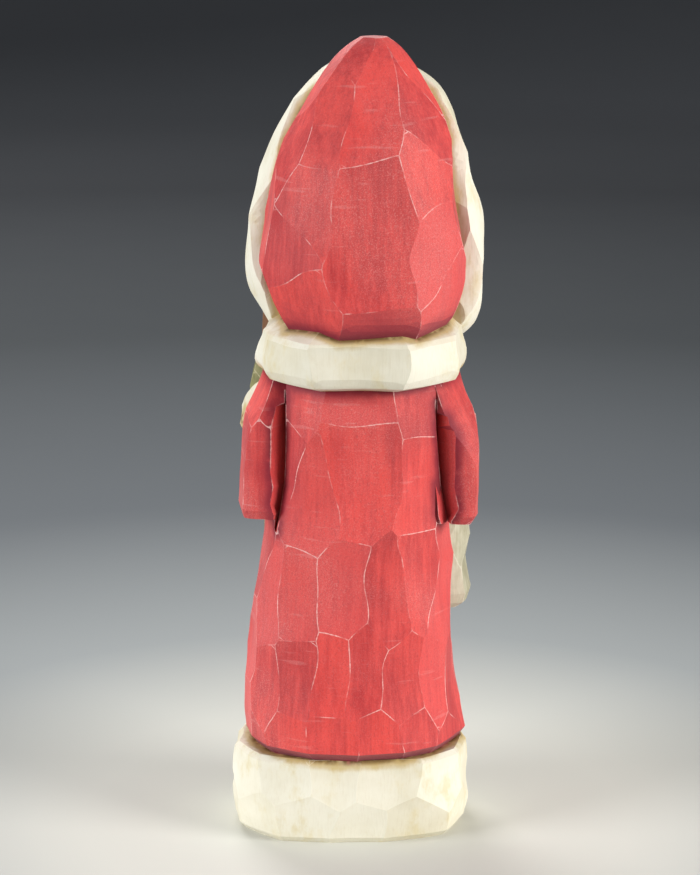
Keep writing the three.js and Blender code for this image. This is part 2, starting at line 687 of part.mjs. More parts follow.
function coatSolid() {
  const loft = uprightLoft(COAT_ROWS, 2.3, [24.6, 77, 86]);
  const front = spreadCuts(loft, { radius: 23, across: 12, along: 19, from: 88, to: 272, salt: 11 });
  return carvedSolid(loft, [...COAT_CUTS, ...front], { ...BIG_KNIFE, radius: 24 });
}

function collarSolid() {
  const loft = uprightLoft(COLLAR_ROWS, 2.5, [117.6, 128.6]);
  const front = spreadCuts(loft, { radius: 25, across: 12, along: 16, from: 96, to: 264, salt: 6 });
  return carvedSolid(loft, [...COLLAR_CUTS, ...front], { ...BIG_KNIFE, radius: 25, scoop: 0.03, depth: 0.4 });
}

function hoodSolid() {
  const loft = uprightLoft(HOOD_ROWS, 2.3, [131, 192, 197.6]);
  return carvedSolid(loft, HOOD_CUTS, { ...BIG_KNIFE, radius: 20, scoop: 0.008 }).subtract(hoodFrontBlock());
}

function furSolid() {
  const loft = ringLoft();
  const cuts = spreadCuts(loft, { radius: 4.6, across: 8, along: 15, salt: 9 });
  return carvedSolid(loft, cuts, { radius: 4.6, hollow: 0.9, scoop: 0.007, depth: 0.25, step: 6 });
}

function sackSolid() {
  const loft = uprightLoft(SACK_ROWS, 2.3, [52.4, 55, 63]);
  const cuts = spreadCuts(loft, { radius: 6, across: 7.5, along: 13, salt: 2 });
  return carvedSolid(loft, cuts, { radius: 6, hollow: 0.9, scoop: 0.008, depth: 0.3, step: 4 });
}

function staffSolid() {
  const loft = pathLoft(STAFF_ROWS, 2);
  const cuts = spreadCuts(loft, { radius: 2.3, across: 2.9, along: 26, salt: 8 });
  return carvedSolid(loft, cuts, { radius: 2.3, hollow: 0.9, scoop: 0.001, depth: 0.15, step: 14 });
}

function coatTrimSolid() {
  const loft = pathLoft(COAT_TRIM_ROWS, 2.8);
  const cuts = spreadCuts(loft, { radius: 4, across: 8, along: 13, salt: 3 });
  return carvedSolid(loft, cuts, { radius: 4, hollow: 0.5, scoop: 0.01, depth: 0.3, step: 6 });
}

function armSolids(side) {
  const upper = uprightLoft(UPPER_ARM_ROWS[side], 2.5, [UPPER_ARM_ROWS[side][1][0]]);
  const fore = pathLoft(FOREARM_ROWS[side], 2.4);
  const cuff = pathLoft(CUFF_ROWS[side], 2.5, { turns: [1.2, 6.4] });
  const mitten = pathLoft(MITTEN_ROWS[side], 2.2);
  const thumb = pathLoft(THUMB_ROWS[side], 2);
  const salt = side === 'left' ? 5 : 12;
  const sleeveKnife = { radius: 7, hollow: 0.85, scoop: 0.008, depth: 0.4, step: 6 };
  const handKnife = { radius: 5, hollow: 0.8, scoop: 0.02, depth: 0.25, step: 4 };
  const sleeveCuts = (loft) => spreadCuts(loft, { radius: 7, across: 8, along: 17, salt });
  const cuffCuts = spreadCuts(cuff, { radius: 7, across: 8, along: 9, salt: salt + 1 });
  const mittenCuts = spreadCuts(mitten, { radius: 5, across: 6, along: 7, salt: salt + 2 });
  const thumbCuts = spreadCuts(thumb, { radius: 2, across: 4, along: 8, salt: salt + 3 });
  return [
    carvedSolid(upper, SLEEVE_CUTS[side], sleeveKnife),
    carvedSolid(fore, sleeveCuts(fore), sleeveKnife),
    carvedSolid(cuff, cuffCuts, { ...sleeveKnife, scoop: 0.03, depth: 0.3 }),
    carvedSolid(mitten, mittenCuts, handKnife),
    carvedSolid(thumb, thumbCuts, { ...handKnife, radius: 2, depth: 0.1 }),
  ];
}

// Moustache half and eyebrow on one side of the head's middle
function faceHairSolids(mirror) {
  return [MOUSTACHE_ROWS, EYEBROW_ROWS].map((rows) => {
    const loft = pathLoft(rows, 2, { guide: UPWARDS, mirror, middle: HEAD_X });
    const cuts = spreadCuts(loft, { radius: 2, across: 2.6, along: 40, salt: 1 });
    return carvedSolid(loft, cuts, { radius: 2, hollow: 0.8, scoop: 0, depth: 0.1, step: 3 });
  });
}

// The block is solid, so the small spaces that the forms close in between them are filled
function outerBody(solid) {
  const bodies = solid.simplify(SMALLEST_EDGE).decompose();
  return bodies.reduce((best, body) => (body.volume() > best.volume() ? body : best));
}

function santaSolid() {
  const arms = Object.keys(SLIT_ROWS).map((side) => armSolids(side)[0].subtract(slitSolid(side, ARM_TRIM)));
  const dressed = wasm.Manifold.union([footSolid(), coatSolid(), ...arms]);
  const slits = Object.keys(SLIT_ROWS).map((side) => slitSolid(side, SLIT));
  const withSlits = slits.reduce((body, slit) => body.subtract(slit), dressed);
  const rest = [
    ...armSolids('left').slice(1),
    ...armSolids('right').slice(1),
    collarSolid(), hoodSolid(), furSolid(), faceSolid(), beardSolid(),
    ...faceHairSolids(1), ...faceHairSolids(-1),
    coatTrimSolid(), staffSolid(), sackSolid(),
  ];
  return outerBody(wasm.Manifold.union([withSlits, ...rest]));
}

function geometryFrom(solid) {
  const mesh = solid.getMesh();
  const geometry = new THREE.BufferGeometry();
  geometry.setAttribute('position', new THREE.BufferAttribute(Float32Array.from(mesh.vertProperties), 3));
  geometry.setIndex(new THREE.BufferAttribute(Uint32Array.from(mesh.triVerts), 1));
  geometry.computeVertexNormals();
  return geometry;
}

const paintedWood = new THREE.MeshStandardMaterial({ color: 0xc64a4c, roughness: 0.75, metalness: 0 });
const figurine = new THREE.Mesh(geometryFrom(santaSolid()), paintedWood);
figurine.name = 'santa_figurine';
figurine.position.set(-BLOCK_MIDDLE.x, -BLOCK_MIDDLE.y, 0);

const group = new THREE.Group();
group.add(figurine);

export default group;
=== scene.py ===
# A santa figurine, knife-carved from one block of basswood and painted by hand.
# The shapes are worked out in millimetres in the block's own frame, as the CAD model's are, and the
# finished mesh is moved to the model's frame in metres. The figure looks towards -Y.

import math

import bmesh
import bpy
import numpy as np
from mathutils import Matrix, Vector, kdtree
from mathutils.bvhtree import BVHTree
from mathutils.geometry import delaunay_2d_cdt


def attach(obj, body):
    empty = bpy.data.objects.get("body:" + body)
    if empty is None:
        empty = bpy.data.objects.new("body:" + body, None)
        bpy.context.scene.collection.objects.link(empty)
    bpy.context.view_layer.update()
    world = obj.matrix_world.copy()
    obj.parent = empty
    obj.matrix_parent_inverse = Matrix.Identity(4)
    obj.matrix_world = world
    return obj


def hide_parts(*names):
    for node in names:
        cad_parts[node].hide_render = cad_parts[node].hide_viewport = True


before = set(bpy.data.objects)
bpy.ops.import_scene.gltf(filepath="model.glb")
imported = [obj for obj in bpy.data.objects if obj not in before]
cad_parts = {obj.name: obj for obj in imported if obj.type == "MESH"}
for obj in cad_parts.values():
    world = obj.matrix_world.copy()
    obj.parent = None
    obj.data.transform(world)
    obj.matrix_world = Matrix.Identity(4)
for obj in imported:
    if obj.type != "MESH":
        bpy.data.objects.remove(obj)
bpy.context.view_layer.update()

MM = 0.001
TURN = 2 * math.pi
BLOCK_MIDDLE = (-1.6, -0.5, 0.0)

# Camera: the photograph's view from behind and a little above. Its clip distances are in metres.
CAMERA_TARGET = (0.0, 0.0, 99.88)
CAMERA_DISTANCE = 720.0
CAMERA_ELEVATION = 14.0
CAMERA_LENS = 118.4
CAMERA_SENSOR = 36.0
CAMERA_CLIP = (0.01, 10)

# Head and face places
HEAD_X = -3.6
HOOD_FRONT_Y = -8
FACE_BACK_Y = -4
FRONT_BLOCK = {"wide": 40, "deep": 40, "tall": 60}

# Upright forms. Each row is height, middle x, half width, middle y, half depth.
FOOT_ROWS = [
    [0, 0.2, 27.2, 0, 20.4],
    [1.6, 0.1, 28.9, 0, 21.8],
    [6, 0, 30, 0, 22.6],
    [12, 0, 29.7, 0, 22.6],
    [18, -0.2, 29.3, 0, 22.4],
    [20.8, -0.3, 28.7, 0, 22],
    [22, -0.4, 27.4, 0, 21],
]
COAT_ROWS = [
    [19.5, -1, 24.8, 0.3, 19.6],
    [22, -0.7, 25.4, 0.5, 20.9],
    [24.6, -0.6, 27.1, 1, 23.7],
    [31, 0.1, 27, 0.9, 23.2],
    [44, -0.2, 25.9, 0.6, 22.2],
    [57, -0.6, 24.9, 0.3, 21.3],
    [70, -0.9, 23.6, 0.1, 20.5],
    [77, -1.5, 22.8, 0, 20.2],
    [86, -2.7, 22.6, 0, 19.8],
    [100, -2.9, 22.6, 0, 19.4],
    [113, -2.9, 22.4, 0, 18.9],
    [122, -2.8, 20, 0, 17],
]
COLLAR_ROWS = [
    [116.4, -3, 20.2, 0.6, 19],
    [117.6, -3, 23.8, 1.2, 21.8],
    [119.6, -2.9, 25.2, 1.7, 22.8],
    [123, -2.9, 25.5, 1.9, 22.9],
    [128.6, -2.8, 23.4, 1.6, 22.4],
    [132, -3.4, 18.4, 1.9, 17.4],
]
HOOD_ROWS = [
    [126.5, -3.8, 16.5, 3, 15],
    [129.6, -3.9, 18.9, 4, 17.4],
    [133, -4.1, 21.4, 4.6, 18.6],
    [138.6, -3.7, 23.7, 5, 19.2],
    [146.5, -2.8, 24.7, 5, 19.2],
    [156, -3, 23.7, 5, 18.8],
    [165, -3.1, 22.3, 4.8, 18],
    [174, -3.9, 20.1, 4.2, 16.5],
    [183, -4.8, 16.5, 3.2, 13.8],
    [189, -4.9, 13.2, 2.6, 10.9],
    [194.4, -5.1, 9.4, 2.2, 7.6],
    [198, -5.5, 5.9, 2, 5],
    [200, -5.7, 3, 2, 2.4],
]
SACK_ROWS = [
    [50.6, -22.9, 5, -18.8, 4],
    [52.4, -22.9, 7.6, -18.8, 6.2],
    [55, -22.7, 8.8, -18.8, 7.2],
    [63, -22.6, 7.1, -18.6, 6.8],
    [71, -22.6, 7.7, -18.6, 6.8],
    [81, -22.9, 7.2, -18.9, 6.4],
    [89, -23.4, 5.4, -19.8, 5],
    [93.6, -23.8, 3.3, -21, 3.4],
    [98, -24, 4, -21.5, 3.8],
]
UPPER_ARM_ROWS = {
    "left": [
        [82.3, 21.2, 5.2, 5.2, 8],
        [84.5, 21.4, 5.9, 5, 9.2],
        [93, 21.1, 6.3, 4.6, 9.8],
        [104, 19.6, 6.2, 3.4, 10],
        [112.8, 16.6, 5.6, 2.2, 9.8],
        [121, 14.4, 5.4, 1.4, 8.4],
    ],
    "right": [
        [81, -25.1, 4.9, 5.2, 8],
        [83.2, -25.7, 5.9, 5, 9.2],
        [92, -26, 6.4, 4.6, 9.8],
        [104, -24.6, 6.3, 3.4, 10],
        [112.8, -21, 5.3, 2.2, 9.8],
        [121, -18.1, 5.1, 1.4, 8.4],
    ],
}

# Forms along a path. Each row is distance along, x, y, z, half width, half thickness.
FOREARM_ROWS = {
    "left": [
        [0, 20.9, 4, 90, 4.2, 5.4],
        [12, 20.9, -4.6, 95.4, 5.3, 6.8],
        [24, 21, -14.2, 102, 5.5, 6.4],
    ],
    "right": [
        [0, -25.4, 4, 88.6, 4.2, 5.4],
        [12, -25.7, -5.4, 92.4, 5.4, 6.8],
        [24, -25.9, -15.4, 97.6, 5.5, 6.4],
    ],
}
CUFF_ROWS = {
    "left": [
        [0, 20.8, -11.8, 100.2, 5.8, 6.6],
        [1.2, 20.7, -12.8, 101, 6.6, 7.6],
        [6.4, 20.4, -16.6, 104.6, 6.7, 7.7],
        [8.4, 20.3, -18, 106, 5.4, 6.2],
    ],
    "right": [
        [0, -25.7, -13, 95.6, 5.8, 6.4],
        [1.2, -25.7, -14, 96.2, 6.5, 7.3],
        [6.4, -25.5, -18.2, 98.8, 6.6, 7.4],
        [8.4, -25.4, -19.8, 99.8, 5.4, 6],
    ],
}
MITTEN_ROWS = {
    "left": [
        [0, 20.2, -16, 104.4, 4.4, 4.6],
        [4, 20, -18.6, 108, 4.9, 5.2],
        [8.5, 19.8, -20.4, 112.2, 5.1, 5.4],
        [12, 19.7, -21.2, 115.2, 4.3, 4.6],
        [14, 19.7, -21.6, 117, 2.4, 2.6],
    ],
    "right": [
        [0, -26, -17, 98.2, 4.4, 4.4],
        [4, -25.5, -19.6, 99.6, 4.9, 5],
        [8, -24.6, -21.6, 99.4, 5, 5.2],
        [11, -23.8, -22.4, 97.2, 4.2, 4.4],
        [13, -23.3, -22.6, 95.4, 2.4, 2.6],
    ],
}
THUMB_ROWS = {
    "left": [
        [0, 18, -18.4, 107.6, 2, 2],
        [4, 16.6, -21, 110.6, 2.2, 2.2],
        [8, 17.4, -23.4, 113, 1.4, 1.4],
    ],
    "right": [
        [0, -22.4, -20, 101.6, 2, 2],
        [4, -20.6, -22.8, 100.6, 2.2, 2.2],
        [8, -21, -25, 98.4, 1.4, 1.4],
    ],
}
STAFF_ROWS = [
    [0, 19, -18.6, 0.5, 2.2, 2.2],
    [40, 19.2, -19.2, 40, 2.4, 2.3],
    [80, 19.6, -20.6, 80, 2.3, 2.4],
    [114, 19.8, -21.6, 114, 2.4, 2.3],
    [140, 19.4, -20.2, 140, 2.3, 2.3],
    [157, 19.2, -19, 157, 2.7, 2.7],
    [160, 19.2, -18.8, 160, 1.8, 1.8],
]
COAT_TRIM_ROWS = [
    [0, -0.6, -20.4, 20, 4.6, 2.2],
    [5, -0.6, -22.3, 25, 5.2, 2.6],
    [24, -0.4, -21.5, 44, 4.9, 2.6],
    [50, -1.4, -20.1, 70, 4.6, 2.6],
    [68, -2.4, -19.4, 88, 4.4, 2.6],
]
MOUSTACHE_ROWS = [
    [0, 0.2, -18.2, 151.6, 1.5, 1.6],
    [3, 2.8, -19.4, 151, 2.4, 2.4],
    [8, 7.6, -18.6, 149, 2.9, 2.5],
    [12, 11.6, -16.6, 147.4, 2.3, 2.1],
    [16, 15.2, -14.4, 148.4, 1.4, 1.3],
    [18.5, 17, -13.2, 150.4, 0.5, 0.5],
]
EYEBROW_ROWS = [
    [0, 2.8, -17, 168.8, 0.7, 0.8],
    [4, 6.4, -16.4, 169.9, 1.4, 1.4],
    [8, 10.4, -14.6, 169.4, 1.2, 1.2],
    [11, 13.2, -12.8, 167.2, 0.4, 0.5],
]

# Fur around the face opening: its outer edge, x from the head's middle and height
FUR_EDGE = [
    [0, 193.2], [5.5, 192.6], [11.6, 188.6], [17.2, 182], [21.8, 175], [25.7, 163.5], [28, 152.9],
    [29.4, 143], [28.3, 137], [25.4, 131.8], [21, 126], [12, 120.6], [0, 119.4], [-12, 120.6],
    [-24.8, 125], [-28.8, 130.8], [-29.4, 139.2], [-29.4, 149.8], [-28.2, 157], [-25.8, 164], [-23.7, 172],
    [-21.2, 181.6], [-18.4, 186.6], [-13, 190.4], [-6.5, 192.6],
]
FUR_HALF_WIDTH = 5
FUR_HALF_DEPTH = 4.6
FUR_Y = -9.8

# Face: x from the head's middle line, forward depth from y = 0. FACE_ROUND is its depth in front and
# how far it falls back to the sides and up and down.
FACE = {"half_width": 21, "low": 139, "high": 188, "brow": 168.5, "eye": 163, "nose_tip": 155.4}
FACE_OVAL = {"middle": 156, "half_height": 36}
FACE_ROUND = {"front": 15.4, "aside": 5.6, "up": 2.2, "middle": 160, "half_height": 26}
NOSE = {"width": 1.5, "wider": 1.7, "rise": 1.2, "higher": 5, "under": 1.9}
EYE_X = 7.3

# Swells and hollows of the face: how far forward, height, reach up and down, distance from the middle
# line, reach to the sides
FACE_SWELLS = {
    "brow": (1.3, FACE["brow"], 2.8, 7, 8),
    "eye_socket": (-2.5, FACE["eye"] + 0.4, 3.4, EYE_X, 4.4),
    "eyeball": (1.6, FACE["eye"], 1.9, EYE_X, 2.9),
    "cheek": (1.8, FACE["nose_tip"] + 0.2, 4.6, 9.4, 5),
    "nostril": (2, FACE["nose_tip"] - 0.4, 1.8, 3.1, 1.5),
}
FACE_GRID = (84, 98)

# Beard: each row is height, middle x, half width, forward depth from y = 0
BEARD_ROWS = [
    [74, -2.2, 1.4, 22.6],
    [80, -2.3, 4.4, 24.2],
    [90, -2.5, 8.4, 25.6],
    [100, -2.8, 11.6, 26.2],
    [112, -3.1, 14.2, 26.2],
    [125, -3.4, 16.2, 25.4],
    [138, -3.6, 18.6, 21.6],
    [150, -3.6, 19.6, 16.6],
    [163, -3.6, 19, 11.6],
]
BEARD = {"low": 74, "lip_high": 147.2, "side_rise": 15, "locks": 7, "groove": 2, "fade": 12, "fall": 5.4}
BEARD_GRID = (110, 120)

# Slits that part each arm from the back of the chest. Each row is a height, how far the slit's root
# is from x = 0, and how far the sleeve's wall leans from the root at the mouth.
SLIT_ROWS = {
    "left": [
        [79, 18.4, 0.8],
        [83.6, 17.5, 3],
        [90.8, 16.3, 6.6],
        [100.9, 15.9, 9.2],
        [110.8, 15.9, 8.8],
        [114.6, 15.9, 0.3],
    ],
    "right": [
        [77.6, 24.6, 0.8],
        [81.8, 24, 3],
        [90.7, 22.5, 9],
        [105, 21.3, 10.8],
        [108.4, 21.2, 8.2],
        [112.4, 21.1, 0.3],
    ],
}
SLIT_ROOT_Y = 9.5
SLIT_MOUTH_Y = 21

# A slit's own wedge, and the wider one inside it that first trims the arm off the chest: how far its
# root stands out and back from the slit's, its share of the sleeve wall's lean, and the chest wall's lean
SLIT = {"out": 0, "back": 0, "share": 1, "chest_lean": 0.8}
ARM_TRIM = {"out": 0.1, "back": 1, "share": 0.6, "chest_lean": 8}

# Knife cuts placed on the back: degrees round from the back's middle, height, extra depth
HOOD_CUTS = [
    [20, 203, 0.2], [-2, 183.7, 0.3], [-6, 156.7, 1.1], [-7, 121, 0], [-62, 194, 0.1], [-50, 181, 0.2],
    [-44, 168.8, 0.2], [-49, 152, 0.3], [-60, 138.5, 0.2], [-86, 161, 0.1], [71, 192, 0.1], [35, 180, 0.3],
    [62, 175, 0.2], [37, 162, 0.4], [47, 150, 0.3], [42, 138, 0.2], [79, 157, 0.1], [98, 186, 0],
    [102, 168, 0], [104, 147, 0], [86, 135, 0], [-100, 182, 0], [-108, 160, 0], [-100, 144, 0],
    [-92, 132, 0], [140, 190, 0], [-140, 190, 0], [180, 180, 0], [135, 160, 0], [-135, 160, 0],
    [180, 145, 0],
]
COAT_CUTS = [
    [0, 116, 0.2], [46, 114.5, 0.1], [-42, 113.5, 0.1], [1, 96, 0.7], [51, 99, 0], [30, 88, 0.2],
    [-43, 93, 0.2], [33, 62.5, 0.2], [6, 64.5, 0.2], [-19, 62, 0.1], [-42, 67, 0.1], [56, 60, 0.1],
    [-62, 58, 0.1], [31, 43, 0.1], [54, 39, 0.1], [10, 44, 0.1], [-9, 46, 0.2], [-29, 43, 0.2],
    [-51, 41, 0.1], [-72, 40, 0], [34, 25, 0.1], [10, 26, 0], [-14, 24, 0.1], [-37, 25, 0],
    [60, 22, 0], [-62, 22, 0], [76, 48, 0], [76, 72, 0], [-70, 84, 0], [-70, 108, 0], [72, 110, 0],
    [76, 28, 0],
]
COLLAR_CUTS = [
    [2, 123, 1.1], [50, 123, 0.6], [-46, 123, 0.6], [74, 122, 0.3], [-78, 122, 0.3],
    [2, 133, 1.2], [50, 132.6, 0.8], [-46, 132.6, 0.8],
]

# Knife cuts on the upper arms, as on the back
SLEEVE_CUTS = {
    "left": [
        [12, 92, 0.4], [-2, 120, 0.3], [76, 94, 0.2], [70, 119, 0.2], [-72, 96, 0.2], [-76, 118, 0.1],
        [128, 92, 0.1], [180, 100, 0.1], [-128, 96, 0.1],
    ],
    "right": [
        [6, 90, 0.4], [22, 119, 0.3], [-44, 113, 0.3], [-88, 92, 0.1], [72, 96, 0.2], [78, 118, 0.1],
        [128, 92, 0.1], [180, 100, 0.1], [-128, 96, 0.1],
    ],
}

# How a knife wanders: cuts sit in staggered rows, off their places by these shares of their size
ROW_STAGGER = (0.25, 0.75)
SIDE_WANDER = 0.4
RISE_WANDER = 0.45
DEPTH_WANDER = 0.3

# How far ridges wander sideways, over what length, and how near a loft's ends they stop
WANDER = 0.7
WANDER_LENGTH = 5.5
WANDER_EASE = 4.0

# Fineness of the mesh: steps along ridges and between points, and how far in from a ridge the first row
# lies. In shares of these: how far apart the fill's rows are, and how near a ridge a point may lie.
RIDGE_STEP = 1.3
FACET_STEP = 1.7
RIM_INSET = 0.7
ROW_RISE = 0.87
RIM_CLEARANCE = 0.9
FILL_CLEARANCE = 0.45
SMALL_FINENESS = 0.7
HAIR_FINENESS = 0.32
CURVE_STEPS = 4000

# A length that counts as none, one that a path's direction is taken over, and the longest edge that
# joining closes up
HAIR_LINE = 1e-4
EDGE_REACH = 0.5
WELD = 0.015

# Wear maps: the least turn and face area at a worn ridge, how far apart the samples along lines lie,
# how far each map reaches, how near a line counts as on it, and the rays that feel for open space
RIDGE_ANGLE = math.radians(8)
SPECK_AREA = 0.01
RIDGE_SAMPLES = 0.3
BORDER_SAMPLES = 0.4
RIDGE_FAR = 2.0
BORDER_FAR = 5.0
LINE_REACH = 0.3
OPENNESS_RAYS = 20
OPENNESS_REACH = 14.0
OPENNESS_START = 0.05
GOLDEN_SHARE = 0.6180339887
SHARP_ANGLE = math.radians(8)

# Studio paper, in metres: a flat floor, the curve's radius and the wall's top. BACKDROP_REACH is how
# far out its tones run, and each tone has its place from 0 to 1 along that. The tones are painted light:
# pale in a pool round the figure and darker away from it.
FLOOR_RINGS = (0.05, 0.12, 0.25, 0.5, 0.8)
BOWL_FLAT = 1.3
BOWL_CURVE = 0.8
BOWL_TOP = 2.0
BOWL_STEPS = 12
BOWL_SIDES = 96
BACKDROP_REACH = 3.0
BACKDROP_TONES = [
    (0.0, (0.69, 0.685, 0.63, 1.0)),
    (0.025, (0.65, 0.65, 0.60, 1.0)),
    (0.05, (0.34, 0.36, 0.365, 1.0)),
    (0.1, (0.13, 0.143, 0.156, 1.0)),
    (0.2, (0.053, 0.059, 0.065, 1.0)),
    (0.34, (0.043, 0.046, 0.052, 1.0)),
    (0.47, (0.085, 0.09, 0.1, 1.0)),
    (1.0, (0.03, 0.031, 0.036, 1.0)),
]

# Soft lights: name, place in metres, watts, colour. All are round, of one size, and turned to one
# place.
LIGHTS = [
    ("main_light", (-0.95, 0.45, 0.35), 14.5, (1.0, 0.98, 0.95)),
    ("side_light", (0.95, 0.4, 0.35), 11.5, (0.98, 0.99, 1.0)),
    ("front_light", (0.3, -0.9, 0.8), 9, (1.0, 0.99, 0.97)),
]
LIGHT_SIZE = 0.6
LIGHT_TARGET = (0, 0, 0.1)
AIR_COLOUR = (0.9, 0.95, 1.0, 1.0)
AIR_STRENGTH = 0.34

# Relief finer than the CAD model's: lines round a moustache or eyebrow, strands in each lock of the
# beard, and the depths of these, of the lids' folds and of the lower lip, with that lip's height
HAIR_LINES = 11
HAIR_GROOVE = 0.32
LID_FOLD = 0.45
LIP_SWELL = 0.9
LIP_Z = 148.6
STRANDS_PER_LOCK = 3
STRAND_DEPTH = 0.35

# Relief of the paints alone, in metres
FIBRE_RELIEF = 0.00009
BRUSH_RELIEF = 0.00016
SAW_RELIEF = 0.0001
PAPER_RELIEF = 0.00004

# Paints, in the order of the finished mesh's material slots
PAINTS = [
    "red_paint", "slit_paint", "cream_paint", "skin_paint", "white_hair_paint", "olive_mitten_paint",
    "brown_staff_paint", "sack_paint", "bare_basswood",
]
RED, SLIT_RED, CREAM, SKIN, HAIR, OLIVE, BROWN, SACK, BARE = range(len(PAINTS))

# Plain paints, in display colours: lit, deep, painted shade in creases, on worn ridges, and how worn those
# are
PLAIN_PAINTS = {
    HAIR: [(246, 243, 232), (212, 204, 186), (132, 118, 98), (253, 251, 244), 0.3],
    OLIVE: [(150, 146, 100), (104, 102, 62), (48, 44, 24), (196, 188, 150), 0.7],
    BROWN: [(132, 94, 66), (84, 54, 36), (38, 24, 16), (196, 160, 124), 0.6],
    SACK: [(206, 202, 180), (160, 154, 126), (96, 84, 58), (236, 232, 216), 0.5],
}

# Touches that paint an eye: display colour, place off the eye's middle, half width and half height. The last
# is a painted highlight.
EYE_TOUCHES = [
    ((96, 54, 38), 0, 0.1, 3.2, 1.75),
    ((240, 234, 220), 0, 0, 2.8, 1.35),
    ((74, 98, 120), 0, 0.1, 1.35, 1.3),
    ((22, 18, 18), 0, 0.1, 0.7, 0.7),
    # a painted highlight: a glint of light on the eye
    ((250, 250, 250), 0.45, 0.55, 0.28, 0.28),
]
CHEEK = {"x": 10.4, "z": 156}
ROSY = (214, 104, 88)


def scatter(a, b):
    """Repeatable scatter from 0 to 1."""
    wave = math.sin(a * 12.9898 + b * 78.233) * 43758.5453
    return wave - math.floor(wave)


def bump(distance, width):
    return np.exp(-((distance / width) ** 2))


def srgb(red, green, blue):
    """A display colour, 0 to 255, as the linear colour that shaders take."""
    shares = [value / 255 for value in (red, green, blue)]
    return [s / 12.92 if s <= 0.04045 else ((s + 0.055) / 1.055) ** 2.4 for s in shares] + [1.0]


def curve_weights(t):
    """Weights of a smooth span's first end, first slope and last slope; t runs from 0 to 1 along it."""
    return 2 * t**3 - 3 * t**2 + 1, t**3 - 2 * t**2 + t, t**3 - t**2


def read_rows(rows, places, corners=()):
    """Smooth curve through a table's rows, whose first column is the place along. It turns sharply
    at the rows whose places are corners."""
    table = np.array(rows, float)
    places = np.atleast_1d(np.asarray(places, float))
    last = len(table) - 1
    i = np.clip(np.searchsorted(table[:, 0], places, side="left") - 1, 0, last - 1)
    here, after = table[i], table[i + 1]
    sharp = np.isin(table[:, 0], corners)
    before = table[np.where(sharp[i], i, np.maximum(i - 1, 0))]
    beyond = table[np.where(sharp[i + 1], i + 1, np.minimum(i + 2, last))]
    span = after[:, :1] - here[:, :1]
    t = np.clip((places[:, None] - here[:, :1]) / span, 0, 1)
    slope_here = (after - before) / (after[:, :1] - before[:, :1]) * span
    slope_after = (beyond - here) / (beyond[:, :1] - here[:, :1]) * span
    a, b, c = curve_weights(t)
    return (a * here + (1 - a) * after + b * slope_here + c * slope_after)[:, 1:]


def even_turns(squareness):
    """Angles round a rounded section, against the even steps round its edge that they stand for."""
    steps = np.linspace(0, math.pi / 2, CURVE_STEPS + 1)
    bend = 2 / squareness
    x, y = np.sin(steps) ** bend, np.cos(steps) ** bend
    run = np.concatenate([[0], np.cumsum(np.hypot(np.diff(x), np.diff(y)))])
    return run / run[-1] * math.pi / 2, steps


class Loft:
    """A row of rounded sections. sections(v) gives centres, wide and deep axes and half sizes."""

    def __init__(self, low, high, squareness, sections, turns=(), loop=False):
        self.even = even_turns(squareness)
        self.low = low
        self.high = high
        self.squareness = squareness
        self.sections = sections
        self.turns = turns
        self.loop = loop

    def points(self, angles, places, lifts, usual_size):
        """Points on the surface; a lift is for the usual size, and shrinks with a smaller section."""
        centre, wide, deep, half_wide, half_deep = self.sections(places)
        bend = 2 / self.squareness
        quarter, part = np.divmod(angles, math.pi / 2)
        odd = quarter % 2 == 1
        part = np.interp(np.where(odd, math.pi / 2 - part, part), *self.even)
        angles = (quarter + odd) * math.pi / 2 + np.where(odd, -part, part)
        s, c = np.sin(angles), np.cos(angles)
        x = half_wide * np.sign(s) * np.abs(s) ** bend
        y = half_deep * np.sign(c) * np.abs(c) ** bend
        size = np.minimum(1, (half_wide + half_deep) / 2 / usual_size)
        grow = 1 + lifts * size / np.hypot(x, y)
        return centre + wide * (x * grow)[:, None] + deep * (y * grow)[:, None]


def upright_loft(rows, squareness, turns=()):
    def sections(places):
        x, half_wide, y, half_deep = read_rows(rows, places, turns).T
        centre = np.stack([x, y, np.asarray(places, float)], axis=1)
        wide = np.tile([1.0, 0.0, 0.0], (len(x), 1))
        deep = np.tile([0.0, 1.0, 0.0], (len(x), 1))
        return centre, wide, deep, half_wide, half_deep

    return Loft(rows[0][0], rows[-1][0], squareness, sections, turns)


def unit(vectors):
    return vectors / np.linalg.norm(vectors, axis=1, keepdims=True)


def path_loft(rows, squareness, guide=(1, 0, 0), mirror=1, middle=0.0, turns=()):
    """Sections square to a path. Their wide side lies as near as it can to the guide."""
    high = rows[-1][0]

    def centres(places):
        found = read_rows(rows, places)[:, :3]
        found[:, 0] = middle + mirror * found[:, 0]
        return found

    def sections(places):
        places = np.asarray(places, float)
        half_wide, half_deep = read_rows(rows, places, turns)[:, 3:].T
        reach = centres(np.minimum(places + EDGE_REACH, high)) - centres(np.maximum(places - EDGE_REACH, 0))
        ahead = unit(reach)
        deep = unit(np.cross(ahead, guide))
        wide = unit(np.cross(deep, ahead))
        return centres(places), wide, deep, half_wide, half_deep

    return Loft(0, high, squareness, sections, turns)


